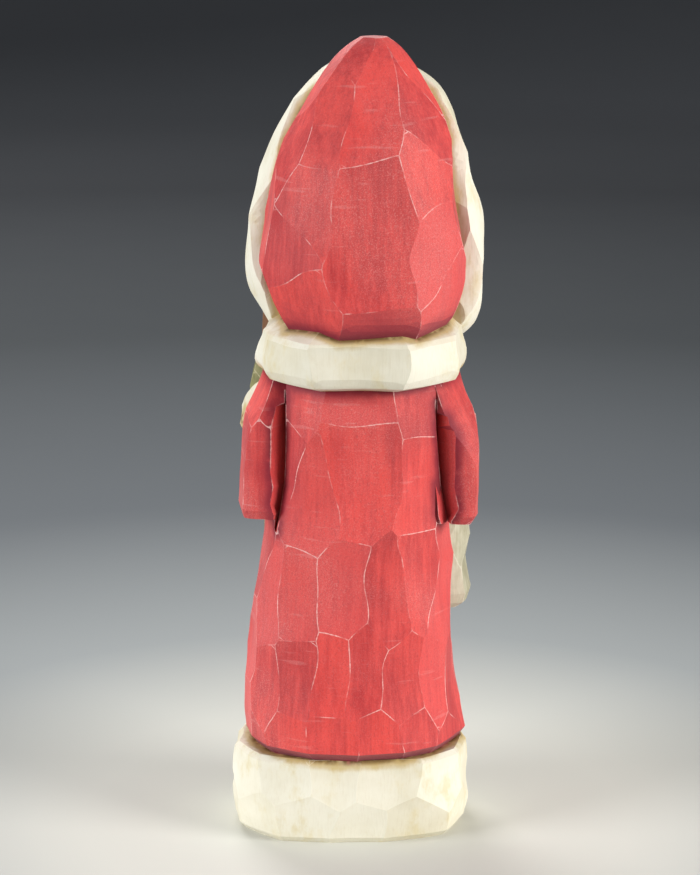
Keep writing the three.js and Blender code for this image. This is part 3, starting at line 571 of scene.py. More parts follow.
def smooth_ring(corners):
    """Closed centripetal Catmull-Rom curve through the corners, as evenly spaced points."""
    count = len(corners)
    found = []
    for i in range(count):
        p0, p1, p2, p3 = (corners[(i + k) % count] for k in (-1, 0, 1, 2))
        gaps = [max(np.linalg.norm(b - a) ** 0.5, HAIR_LINE) for a, b in ((p0, p1), (p1, p2), (p2, p3))]
        slope_1 = (p1 - p0) / gaps[0] - (p2 - p0) / (gaps[0] + gaps[1]) + (p2 - p1) / gaps[1]
        slope_2 = (p2 - p1) / gaps[1] - (p3 - p1) / (gaps[1] + gaps[2]) + (p3 - p2) / gaps[2]
        m1, m2 = slope_1 * gaps[1], slope_2 * gaps[1]
        t = np.linspace(0, 1, CURVE_STEPS // count, endpoint=False)[:, None]
        a, b, c = curve_weights(t)
        found.append(a * p1 + (1 - a) * p2 + b * m1 + c * m2)
    path = np.concatenate(found + [found[0][:1]])
    run = np.concatenate([[0], np.cumsum(np.linalg.norm(np.diff(path, axis=0), axis=1))])
    return path, run


def ring_loft():
    """The fur ring: a closed loft that runs round the face opening."""
    corners = [np.array([HEAD_X + x, FUR_Y, z], float) for x, z in FUR_EDGE]
    path, run = smooth_ring(corners)
    length = run[-1]

    def at(places):
        places = np.mod(places, length)
        return np.stack([np.interp(places, run, path[:, k]) for k in range(3)], axis=1)

    def sections(places):
        places = np.asarray(places, float)
        ahead = unit(at(places + EDGE_REACH / 10) - at(places - EDGE_REACH / 10))
        deep = np.tile([0.0, 1.0, 0.0], (len(places), 1))
        wide = unit(np.cross(deep, ahead))
        centre = at(places) + wide * FUR_HALF_WIDTH
        ones = np.ones(len(places))
        return centre, wide, deep, ones * FUR_HALF_WIDTH, ones * FUR_HALF_DEPTH

    return Loft(0, length, squareness=2.6, sections=sections, loop=True)


def spread_cuts(loft, radius, across, along, salt, start=-180, end=180):
    """Staggered cuts over a loft; across and along are their usual width and length."""
    row_count = max(1, round((loft.high - loft.low) / along))
    column_count = max(3, round(math.radians(end - start) * radius / across))
    cuts = []
    for row in range(row_count):
        for column in range(column_count):
            dice = scatter(row + salt, column + 3 * salt)
            other_dice = scatter(column + 7 * salt, row + 5 * salt)
            turn = (column + ROW_STAGGER[row % 2] + SIDE_WANDER * (dice - 0.5)) / column_count
            rise = (row + 0.5 + RISE_WANDER * (other_dice - 0.5)) / row_count
            place = loft.low + (loft.high - loft.low) * rise
            cuts.append([start + (end - start) * turn, place, DEPTH_WANDER * (dice - 0.5)])
    return cuts


def clip(outline, a, b, limit):
    """Keeps the part of a convex outline where a * u + b * v <= limit."""
    kept = []
    for i, point in enumerate(outline):
        after = outline[(i + 1) % len(outline)]
        here = a * point[0] + b * point[1] - limit
        there = a * after[0] + b * after[1] - limit
        if here <= 0:
            kept.append(point)
        if (here < 0) != (there < 0) and here != there:
            t = here / (here - there)
            kept.append((point[0] + t * (after[0] - point[0]), point[1] + t * (after[1] - point[1])))
    return kept


def cut_cells(loft, cuts, radius, hollow, scoop, depth):
    """Each cut sinks to its depth at its middle and rises away from it; the lowest cut wins
    everywhere, so neighbours meet in straight ridges. u is the angle and v the place along."""
    a = hollow / (2 * radius) * radius**2
    b = scoop
    period = loft.high - loft.low
    loops = (-period, 0, period) if loft.loop else (0,)
    seeds = [(math.radians(degrees), v, depth + extra) for degrees, v, extra in cuts]
    cells = []
    for index, (su, sv, sink) in enumerate(seeds):
        bottom = sv - period / 2 if loft.loop else loft.low
        top = sv + period / 2 if loft.loop else loft.high
        outline = [(su - math.pi, bottom), (su + math.pi, bottom), (su + math.pi, top), (su - math.pi, top)]
        for other, (ou, ov, other_sink) in enumerate(seeds):
            for du in (-TURN, 0, TURN):
                for dv in loops:
                    if other == index and du == 0 and dv == 0:
                        continue
                    u, v = ou + du, ov + dv
                    limit = a * (u**2 - su**2) + b * (v**2 - sv**2) + sink - other_sink
                    outline = clip(outline, 2 * a * (u - su), 2 * b * (v - sv), limit)
            if len(outline) < 3:
                break
        if len(outline) >= 3:
            cells.append({"outline": outline, "seed": (su, sv, sink), "bowl": (a, b), "index": index})
    return cells


def split_at(levels, cells):
    """Splits cells along the levels where the loft's own profile turns."""
    for level in levels:
        parts = []
        for cell in cells:
            for side in (1, -1):
                outline = clip(cell["outline"], 0, side, side * level)
                if len(outline) > 2:
                    parts.append({**cell, "outline": outline})
        cells = parts
    return cells


def tidy(value):
    return round(value / HAIR_LINE) * HAIR_LINE


def stepped_rim(outline, radius, step_size):
    """Points along a cell's outline, the same from both sides of a shared ridge."""
    rim = []
    for i, (u, v) in enumerate(outline):
        next_u, next_v = outline[(i + 1) % len(outline)]
        length = math.hypot(tidy(next_u - u) * radius, tidy(next_v - v))
        steps = max(1, round(length / step_size))
        rim.extend((u + k / steps * (next_u - u), v + k / steps * (next_v - v)) for k in range(steps))
    return rim


def inner_points(rim, spacing, inset):
    """Points inside a flat convex outline: a row just inside its rim, and an even fill."""
    corners = np.array(rim)
    edges = np.roll(corners, -1, axis=0) - corners
    lengths = np.linalg.norm(edges, axis=1)
    whole = lengths > HAIR_LINE
    corners, edges, lengths = corners[whole], edges[whole], lengths[whole]
    if len(corners) < 3:
        return np.zeros((0, 2))
    inward = np.stack([-edges[:, 1], edges[:, 0]], axis=1) / lengths[:, None]
    offsets = np.einsum("ij,ij->i", inward, corners)
    row = corners + edges / 2 + inward * inset
    low, high = corners.min(axis=0), corners.max(axis=0)
    x = np.arange(low[0] + spacing / 2, high[0], spacing)
    y = np.arange(low[1] + spacing / 2, high[1], spacing * ROW_RISE)
    grid_x, grid_y = np.meshgrid(x, y)
    grid_x = grid_x + (np.arange(len(y)) % 2)[:, None] * spacing / 2
    fill = np.stack([grid_x.ravel(), grid_y.ravel()], axis=1)
    row = row[(row @ inward.T - offsets).min(axis=1) > inset * RIM_CLEARANCE]
    fill = fill[(fill @ inward.T - offsets).min(axis=1) > inset + spacing * FILL_CLEARANCE]
    found = np.concatenate([row, fill])
    return found if len(found) else corners.mean(axis=0)[None]


def triangulate(rim, inside):
    """Triangles of a flat outline and the points inside it, turning the same way round."""
    points = [Vector(point) for point in list(rim) + list(inside)]
    outline = [list(range(len(rim)))]
    found, _, triangles, origins = delaunay_2d_cdt(points, [], outline, 1, 1e-7)[:4]
    first = [origin[0] if origin else None for origin in origins]
    kept = []
    for triangle in triangles:
        a, b, c = (found[k] for k in triangle)
        names = [first[k] for k in triangle]
        if None in names or len(set(names)) < 3:
            continue
        kept.append(names if (b - a).cross(c - a) > 0 else names[::-1])
    return kept


def knife_wander(loft, angles, places, radius):
    """Small smooth shifts, so that the ridges between cuts curve as a hand's do. The ends stay."""
    step = TURN / (loft.high - loft.low) if loft.loop else 1 / WANDER_LENGTH
    rise = places * step * (round(1 / (step * WANDER_LENGTH)) if loft.loop else 1)
    reach = WANDER * min(1, radius / 20)
    aside = reach / radius * (np.sin(3 * angles + rise + 1) + 0.6 * np.sin(5 * angles - 2 * rise + 2))
    along = reach * (np.sin(4 * angles + rise + 3) + 0.6 * np.sin(7 * angles - rise + 5))
    if not loft.loop:
        end = np.minimum(places - loft.low, loft.high - places)
        along = along * np.clip(end / WANDER_EASE, 0, 1)
    for level in loft.turns:
        along = along * np.clip(np.abs(places - level) / WANDER_EASE, 0, 1)
    return aside, along


def carved_surface(loft, cuts, knife, paint, fineness=1.0, grooves=None, underside=None):
    """The loft's surface in knife cuts that meet in ridges, as fine triangles. Each cut keeps a
    shade of its own. grooves adds finer relief, by the angle round, to the lifts."""
    radius = knife["radius"]
    period = loft.high - loft.low
    whole_turn = round(TURN / HAIR_LINE)
    whole_loop = round(period / HAIR_LINE) if loft.loop else None
    known = {}
    angles, places, lifts = [], [], []
    faces, paints, shades = [], [], []

    def add_point(u, v, lift):
        folded = loft.low + (v - loft.low) % period if loft.loop else v
        place_key = round((folded - loft.low) / HAIR_LINE)
        key = (round(u % TURN / HAIR_LINE) % whole_turn, place_key % whole_loop if loft.loop else place_key)
        if key not in known:
            known[key] = len(angles)
            angles.append(u)
            places.append(folded)
            lifts.append(lift)
        return known[key]

    rim_faces = {loft.low: [], loft.high: []}
    for cell in split_at(loft.turns, cut_cells(loft, cuts, **knife)):
        su, sv, sink = cell["seed"]
        a, b = cell["bowl"]
        rim, ids = [], []
        for u, v in stepped_rim(cell["outline"], radius, RIDGE_STEP * fineness):
            point = add_point(u, v, a * (u - su) ** 2 + b * (v - sv) ** 2 - sink)
            if not ids or point != ids[-1]:
                rim.append((u * radius, v))
                ids.append(point)
        if len(ids) > 1 and ids[0] == ids[-1]:
            rim.pop()
            ids.pop()
        if len(ids) < 3:
            continue
        inside = inner_points(rim, FACET_STEP * fineness, RIM_INSET * min(1, fineness * 1.3))
        for x, v in inside:
            u = x / radius
            ids.append(add_point(u, v, a * (u - su) ** 2 + b * (v - sv) ** 2 - sink))
        shade = scatter(cell["index"] * 3.7 + 1, loft.high)
        for one, two, three in triangulate(rim, inside):
            faces.append((ids[three], ids[two], ids[one]))
            paints.append(paint)
            shades.append(shade)
        if loft.loop:
            continue
        for k in range(len(rim)):
            after = (k + 1) % len(rim)
            for end, found in rim_faces.items():
                if abs(rim[k][1] - end) < HAIR_LINE and abs(rim[after][1] - end) < HAIR_LINE:
                    found.append((ids[k], ids[after]))

    angles, places, lifts = np.array(angles), np.array(places), np.array(lifts)
    if grooves:
        lifts = lifts + grooves(angles)
    aside, along = knife_wander(loft, angles, places, radius)
    points = loft.points(angles + aside, places + along, lifts, radius)
    for end, found in rim_faces.items():
        if not found:
            continue
        centre = loft.sections(np.array([end]))[0]
        faces.extend((one, two, len(points)) for one, two in found)
        paints.extend([underside or paint if end == loft.low else paint] * len(found))
        shades.extend([0.5] * len(found))
        points = np.concatenate([points, centre])
    return points, faces, paints, shades


def carved_front(grid, back_y, front_at, paint):
    """A carved front: a fine grid of points over a flat back. s and t run from 0 to 1."""
    columns, rows = grid
    s, t = np.meshgrid(np.linspace(0, 1, columns + 1), np.linspace(0, 1, rows + 1))
    points = front_at(s.ravel(), t.ravel())
    wide = columns + 1
    faces = []
    for row in range(rows):
        for column in range(columns):
            corner = row * wide + column
            faces.append((corner, corner + 1, corner + wide + 1))
            faces.append((corner, corner + wide + 1, corner + wide))
    rim = list(range(columns))
    rim += [row * wide + columns for row in range(rows)]
    rim += [rows * wide + column for column in range(columns, 0, -1)]
    rim += [row * wide for row in range(rows, 0, -1)]
    back = points[rim].copy()
    back[:, 1] = back_y
    hub = back.mean(axis=0)
    first_back = len(points)
    hub_id = first_back + len(rim)
    for k, point in enumerate(rim):
        after = (k + 1) % len(rim)
        faces.append((rim[after], point, first_back + k))
        faces.append((rim[after], first_back + k, first_back + after))
        faces.append((first_back + after, first_back + k, hub_id))
    points = np.concatenate([points, back, hub[None]])
    return points, faces, [paint] * len(faces), [0.5] * len(faces)


def face_depth(x, z):
    """How far the face stands forward at x from its middle line and height z."""
    side = np.abs(x)
    up = (z - FACE_ROUND["middle"]) / FACE_ROUND["half_height"]
    aside = x / FACE["half_width"]
    depth = FACE_ROUND["front"] - FACE_ROUND["aside"] * aside**2 - FACE_ROUND["up"] * up**2
    for forward, height, tall, off, wide in FACE_SWELLS.values():
        depth += forward * bump(z - height, tall) * bump(side - off, wide)
    brow, nose_tip = FACE["brow"], FACE["nose_tip"]
    along = np.clip((brow - z) / (brow - nose_tip), 0, 1)
    below = np.maximum(0, nose_tip - z)
    rise = (NOSE["rise"] + NOSE["higher"] * along**1.4) * np.exp(-((below / NOSE["under"]) ** 4))
    width = NOSE["width"] + NOSE["wider"] * along
    return depth + rise * np.exp(-((side / width) ** 2.6)) * bump(np.maximum(0, z - brow), 3)


def eyelids(x, z):
    """The lid's fold over each eye, and a small lower lip: relief finer than the CAD model's."""
    side = np.abs(x)
    arch = FACE["eye"] + 1.9 - 0.09 * (side - EYE_X) ** 2
    lids = LID_FOLD * bump(z - arch, 0.55) * bump(side - EYE_X, 3.6)
    return lids + LIP_SWELL * bump(z - LIP_Z, 1.0) * bump(side, 4.2)


def beard_lock(s, z):
    """Which lock of the beard a point lies on, counted from its middle; s runs from -1 to 1."""
    flow = 0.42 * np.sin(z / 13 + 0.9 * s) + 0.1 * np.sin(z / 5 + 2 * s)
    return s * BEARD["locks"] / 2 + flow


def beard_depth(s, z, front):
    """How far the beard stands forward."""
    lock = beard_lock(s, z)
    groove = np.abs(lock - np.round(lock)) * 2
    fade = np.minimum(1, (z - BEARD["low"]) / BEARD["fade"])
    return front - BEARD["fall"] * s**2 - BEARD["groove"] * fade * groove**2.2


def strands(s, z):
    """Fine gouge lines along the beard's locks."""
    line = beard_lock(s, z) * STRANDS_PER_LOCK + 0.25 * np.sin(z / 7 + 5 * s)
    return STRAND_DEPTH * (np.abs(line - np.round(line)) * 2) ** 1.6


def face_front(s, t):
    z = FACE["low"] + t * (FACE["high"] - FACE["low"])
    oval = np.sqrt(1 - ((z - FACE_OVAL["middle"]) / FACE_OVAL["half_height"]) ** 2)
    x = FACE["half_width"] * oval * (2 * s - 1)
    return np.stack([HEAD_X + x, -face_depth(x, z) - eyelids(x, z), z], axis=1)


def beard_front(share, t):
    s = 2 * share - 1
    top = BEARD["lip_high"] + BEARD["side_rise"] * np.abs(s) ** 2.4
    z = BEARD["low"] + t * (top - BEARD["low"])
    middle, half_width, front = read_rows(BEARD_ROWS, z).T
    depth = beard_depth(s, z, front) - strands(s, z)
    return np.stack([middle + s * half_width, -depth, z], axis=1)


def slit_wedge(side, wedge):
    """A wedge that opens backwards, with its root inside the body. It closes up at its topmost row."""
    rows = SLIT_ROWS[side]
    outward = 1 if side == "left" else -1
    points = []
    for z, slit_root, sleeve_lean in rows:
        root = slit_root + wedge["out"]
        chest = sleeve_lean if z == rows[-1][0] else wedge["chest_lean"]
        mouth_y = SLIT_MOUTH_Y + wedge["back"]
        points.append((outward * root, SLIT_ROOT_Y + wedge["back"], z))
        points.append((outward * (root + wedge["share"] * sleeve_lean), mouth_y, z))
        points.append((outward * (root - chest), mouth_y, z))
    top = len(points) - 3
    faces = [(0, 2, 1), (top, top + 1, top + 2)]
    for low in range(0, top, 3):
        for a, b in ((0, 1), (1, 2), (2, 0)):
            faces += [(low + a, low + b, low + b + 3), (low + a, low + b + 3, low + a + 3)]
    if outward < 0:
        faces = [(a, c, b) for a, b, c in faces]
    return np.array(points), faces, [SLIT_RED] * len(faces), [0.5] * len(faces)


def front_block():
    """A block in front of the hood, which leaves the flat that the face is carved in."""
    wide, deep, tall = FRONT_BLOCK["wide"], FRONT_BLOCK["deep"], FRONT_BLOCK["tall"]
    middle = FACE_OVAL["middle"]
    corners = [(-1, 1, -1), (1, 1, -1), (1, 0, -1), (-1, 0, -1), (-1, 1, 1), (1, 1, 1), (1, 0, 1), (-1, 0, 1)]
    points = np.array([(x * wide, HOOD_FRONT_Y - y * deep, middle + z * tall) for x, y, z in corners])
    quads = [(3, 2, 1, 0), (4, 5, 6, 7), (0, 1, 5, 4), (1, 2, 6, 5), (2, 3, 7, 6), (3, 0, 4, 7)]
    faces = [part for a, b, c, d in quads for part in ((a, b, c), (a, c, d))]
    return points, faces, [RED] * len(faces), [0.5] * len(faces)


# Knife habits: radius is the form's rounding. hollow is for the way round: 1 leaves flats, more leaves
# scoops and less keeps some rounding. scoop is for the way along, and depth is how far a cut sinks.
BIG_KNIFE = {"radius": 23, "hollow": 1.05, "scoop": 0.006, "depth": 0.6}
SLEEVE_KNIFE = {"radius": 7, "hollow": 0.85, "scoop": 0.008, "depth": 0.4}
HAND_KNIFE = {"radius": 5, "hollow": 0.8, "scoop": 0.02, "depth": 0.25}
ARM_SALT = {"left": 5, "right": 12}


def spread_surface(loft, knife, paint, across, along, salt, fineness=SMALL_FINENESS, **more):
    """A form whose cuts are all spread over it; across and along are their usual width and length."""
    cuts = spread_cuts(loft, knife["radius"], across, along, salt)
    return carved_surface(loft, cuts, knife, paint, fineness, **more)


def foot_surface():
    loft = upright_loft(FOOT_ROWS, squareness=2.8, turns=[1.6, 20.8])
    knife = {**BIG_KNIFE, "radius": 27, "scoop": 0.016, "depth": 0.5}
    return spread_surface(loft, knife, CREAM, across=13, along=11, salt=4, fineness=1.0, underside=BARE)


def coat_surface():
    loft = upright_loft(COAT_ROWS, squareness=2.3, turns=[24.6, 77, 86])
    front = spread_cuts(loft, radius=23, across=12, along=19, salt=11, start=88, end=272)
    return carved_surface(loft, COAT_CUTS + front, {**BIG_KNIFE, "radius": 24}, RED)


def collar_surface():
    loft = upright_loft(COLLAR_ROWS, squareness=2.5, turns=[117.6, 128.6])
    front = spread_cuts(loft, radius=25, across=12, along=16, salt=6, start=96, end=264)
    knife = {**BIG_KNIFE, "radius": 25, "scoop": 0.03, "depth": 0.4}
    return carved_surface(loft, COLLAR_CUTS + front, knife, CREAM)


def hood_surface():
    loft = upright_loft(HOOD_ROWS, squareness=2.3, turns=[131, 192, 197.6])
    return carved_surface(loft, HOOD_CUTS, {**BIG_KNIFE, "radius": 20, "scoop": 0.008}, RED)


def fur_surface():
    knife = {"radius": 4.6, "hollow": 0.9, "scoop": 0.007, "depth": 0.25}
    return spread_surface(ring_loft(), knife, CREAM, across=8, along=15, salt=9)


def sack_surface():
    loft = upright_loft(SACK_ROWS, squareness=2.3, turns=[52.4, 55, 63])
    knife = {"radius": 6, "hollow": 0.9, "scoop": 0.008, "depth": 0.3}
    return spread_surface(loft, knife, SACK, across=7.5, along=13, salt=2)


def staff_surface():
    loft = path_loft(STAFF_ROWS, squareness=2)
    knife = {"radius": 2.3, "hollow": 0.9, "scoop": 0.001, "depth": 0.15}
    return spread_surface(loft, knife, BROWN, across=2.9, along=26, salt=8)


def coat_trim_surface():
    loft = path_loft(COAT_TRIM_ROWS, squareness=2.8)
    knife = {"radius": 4, "hollow": 0.5, "scoop": 0.01, "depth": 0.3}
    return spread_surface(loft, knife, CREAM, across=8, along=13, salt=3)


def upper_arm_surface(side):
    rows = UPPER_ARM_ROWS[side]
    loft = upright_loft(rows, squareness=2.5, turns=[rows[1][0]])
    return carved_surface(loft, SLEEVE_CUTS[side], SLEEVE_KNIFE, RED, SMALL_FINENESS)


def hand_surfaces(side):
    """Forearm, cuff, mitten and thumb."""
    salt = ARM_SALT[side]
    fore = path_loft(FOREARM_ROWS[side], squareness=2.4)
    cuff = path_loft(CUFF_ROWS[side], squareness=2.5, turns=[1.2, 6.4])
    mitten = path_loft(MITTEN_ROWS[side], squareness=2.2)
    thumb = path_loft(THUMB_ROWS[side], squareness=2)
    cuff_knife = {**SLEEVE_KNIFE, "scoop": 0.03, "depth": 0.3}
    thumb_knife = {**HAND_KNIFE, "radius": 2, "depth": 0.1}
    return [
        spread_surface(fore, SLEEVE_KNIFE, RED, across=8, along=17, salt=salt),
        spread_surface(cuff, cuff_knife, CREAM, across=8, along=9, salt=salt + 1),
        spread_surface(mitten, HAND_KNIFE, OLIVE, across=6, along=7, salt=salt + 2),
        spread_surface(thumb, thumb_knife, OLIVE, across=4, along=8, salt=salt + 3),
    ]


def hair_grooves(angles):
    """Fine gouge lines that run along the moustache and eyebrows."""
    line = angles * HAIR_LINES / TURN
    return -HAIR_GROOVE * (np.abs(line - np.round(line)) * 2) ** 1.5


def face_hair_surfaces(mirror):
    """Moustache half and eyebrow on one side of the head's middle."""
    knife = {"radius": 2, "hollow": 0.8, "scoop": 0, "depth": 0.1}
    cuts = {"across": 2.6, "along": 40, "salt": 1, "fineness": HAIR_FINENESS, "grooves": hair_grooves}
    lofts = [
        path_loft(rows, squareness=2, guide=(0, 0, 1), mirror=mirror, middle=HEAD_X)
        for rows in (MOUSTACHE_ROWS, EYEBROW_ROWS)
    ]
    return [spread_surface(loft, knife, HAIR, **cuts) for loft in lofts]


def in_scene(name, data):
    """A new object, linked to the scene."""
    made = bpy.data.objects.new(name, data)
    bpy.context.scene.collection.objects.link(made)
    return made


def rough_object(name, surface):
    """A surface as an object of its own, in millimetres, until it is joined to the rest."""
    points, faces, paints, shades = surface
    mesh = bpy.data.meshes.new(name)
    mesh.from_pydata([tuple(point) for point in points], [], faces)
    mesh.polygons.foreach_set("material_index", np.array(paints, dtype=np.int32))
    tint = mesh.attributes.new("tint", "FLOAT", "FACE")
    tint.data.foreach_set("value", np.array(shades, dtype=np.float32))
    for material in MATERIALS:
        mesh.materials.append(material)
    return in_scene(name, mesh)


def add_boolean(piece, operation, others):
    """Joins the others to the piece, or cuts them from it. Returns the collection that holds them."""
    group = bpy.data.collections.new(f"{piece.name}_{operation.lower()}")
    for other in others:
        group.objects.link(other)
    modifier = piece.modifiers.new(group.name, "BOOLEAN")
    modifier.operation = operation
    modifier.operand_type = "COLLECTION"
    modifier.collection = group
    modifier.solver = "MANIFOLD"
    return group


def joined_santa():
    """The whole figure as one closed mesh, in millimetres in the block's frame."""
    coat = rough_object("coat", coat_surface())
    arms = [rough_object(f"upper_arm_{side}", upper_arm_surface(side)) for side in SLIT_ROWS]
    trims = [rough_object(f"arm_trim_{side}", slit_wedge(side, ARM_TRIM)) for side in SLIT_ROWS]
    groups = [add_boolean(arm, "DIFFERENCE", [trim]) for arm, trim in zip(arms, trims)]
    dressed = [rough_object("foot", foot_surface()), *arms]
    slits = [rough_object(f"slit_{side}", slit_wedge(side, SLIT)) for side in SLIT_ROWS]
    block = rough_object("front_block", front_block())
    hood = rough_object("hood", hood_surface())
    groups.append(add_boolean(hood, "DIFFERENCE", [block]))
    rest = [
        hood,
        rough_object("collar", collar_surface()),
        rough_object("fur", fur_surface()),
        rough_object("face", carved_front(FACE_GRID, FACE_BACK_Y, face_front, SKIN)),
        rough_object("beard", carved_front(BEARD_GRID, FACE_BACK_Y, beard_front, HAIR)),
        rough_object("coat_trim", coat_trim_surface()),
        rough_object("staff", staff_surface()),
        rough_object("sack", sack_surface()),
    ]
    for side in ARM_SALT:
        rest += [rough_object(f"hand_{side}_{k}", one) for k, one in enumerate(hand_surfaces(side))]
    for mirror in (1, -1):
        rest += [rough_object(f"hair_{mirror}_{k}", one) for k, one in enumerate(face_hair_surfaces(mirror))]
    for operation, others in (("UNION", dressed), ("DIFFERENCE", slits), ("UNION", rest)):
        groups.append(add_boolean(coat, operation, others))
    bpy.context.view_layer.update()
    depsgraph = bpy.context.evaluated_depsgraph_get()
    joined = bpy.data.meshes.new_from_object(coat.evaluated_get(depsgraph))
    for part in [coat, block, *dressed, *trims, *slits, *rest]:
        old = part.data
        bpy.data.objects.remove(part)
        bpy.data.meshes.remove(old)
    for group in groups:
        bpy.data.collections.remove(group)
    return joined


def without_islands(mesh):
    """Welds the joins' hair-thin edges and leaves out the small spaces closed in between forms."""
    work = bmesh.new()
    work.from_mesh(mesh)
    bmesh.ops.remove_doubles(work, verts=work.verts, dist=WELD)
    bmesh.ops.dissolve_degenerate(work, edges=work.edges, dist=WELD)
    seen = set()
    islands = []
    for start in work.verts:
        if start in seen:
            continue
        seen.add(start)
        island, edge_of_it = [start], [start]
        while edge_of_it:
            vert = edge_of_it.pop()
            for edge in vert.link_edges:
                other = edge.other_vert(vert)
                if other not in seen:
                    seen.add(other)
                    island.append(other)
                    edge_of_it.append(other)
        islands.append(island)
    islands.sort(key=len)
    bmesh.ops.delete(work, geom=[vert for island in islands[:-1] for vert in island], context="VERTS")
    bmesh.ops.triangulate(work, faces=work.faces)
    work.normal_update()
    work.to_mesh(mesh)
    work.free()
    return mesh


def samples_along(edges, step):
    """Points along edges, each given by its two ends."""
    found = []
    for a, b in edges:
        count = max(1, math.ceil((b - a).length / step))
        found.extend(a.lerp(b, k / count) for k in range(count + 1))
    return found


def distances(points, samples, most):
    """How far each point is from the nearest sample, up to a most."""
    tree = kdtree.KDTree(len(samples))
    for index, sample in enumerate(samples):
        tree.insert(sample, index)
    tree.balance()
    return np.array([min(most, tree.find(point)[2]) for point in points])


def even_directions(count):
    """Directions spread evenly over a half sphere round +Z, closer together near the top."""
    found = []
    for k in range(count):
        share = (k + 0.5) / count
        turn = k * TURN * GOLDEN_SHARE
        reach = math.sqrt(share)
        found.append(Vector((reach * math.cos(turn), reach * math.sin(turn), math.sqrt(1 - share))))
    return found


def openness(work):
    """How much of what is round each point is open, from 0 in a deep crease to 1."""
    tree = BVHTree.FromBMesh(work)
    directions = even_directions(OPENNESS_RAYS)
    found = []
    for vert in work.verts:
        turn = vert.normal.to_track_quat("Z", "Y")
        start = vert.co + vert.normal * OPENNESS_START
        closed = 0.0
        for direction in directions:
            hit = tree.ray_cast(start, turn @ direction, OPENNESS_REACH)
            if hit[0] is not None:
                closed += 1 - hit[3] / OPENNESS_REACH
        found.append(1 - closed / OPENNESS_RAYS)
    return found


def wear_lines(work):
    """The ends of every convex ridge between cuts, and of every edge where one paint meets another."""
    ridges, borders = [], []
    tint = work.faces.layers.float["tint"]
    for edge in work.edges:
        if len(edge.link_faces) != 2:
            continue
        ends = (edge.verts[0].co.copy(), edge.verts[1].co.copy())
        one, two = edge.link_faces
        sharp = edge.calc_face_angle_signed(0.0) > RIDGE_ANGLE and one[tint] != two[tint]
        if sharp and min(one.calc_area(), two.calc_area()) > SPECK_AREA:
            ridges.append(ends)
        if one.material_index != two.material_index and BARE not in (one.material_index, two.material_index):
            borders.append(ends)
    return samples_along(ridges, RIDGE_SAMPLES), samples_along(borders, BORDER_SAMPLES)


def fill_bare_faces(work, samples):
    """Adds a point inside each face whose corners all lie on lines while its middle doesn't."""
    points = [vert.co for vert in work.verts]
    near = distances(points, samples, RIDGE_FAR) < LINE_REACH
    work.verts.index_update()
    spanning = [face for face in work.faces if all(near[vert.index] for vert in face.verts)]
    middles = distances([face.calc_center_median() for face in spanning], samples, RIDGE_FAR)
    hollow = [face for face, reach in zip(spanning, middles) if reach > LINE_REACH]
    bmesh.ops.poke(work, faces=hollow, center_mode="MEAN")


def add_wear_maps(mesh):
    """Stores, at each point, its distance to ridges and to other paints, and how open it lies."""
    work = bmesh.new()
    work.from_mesh(mesh)
    ridges, borders = wear_lines(work)
    for samples in (ridges, borders):
        fill_bare_faces(work, samples)
        fill_bare_faces(work, samples)
    work.to_mesh(mesh)
    points = [vert.co.copy() for vert in work.verts]
    maps = {
        "ridge": distances(points, ridges, RIDGE_FAR),
        "border": distances(points, borders, BORDER_FAR),
        "openness": openness(work),
    }
    work.free()
    for name, values in maps.items():
        layer = mesh.attributes.new(name, "FLOAT", "POINT")
        layer.data.foreach_set("value", np.array(values, dtype=np.float32))


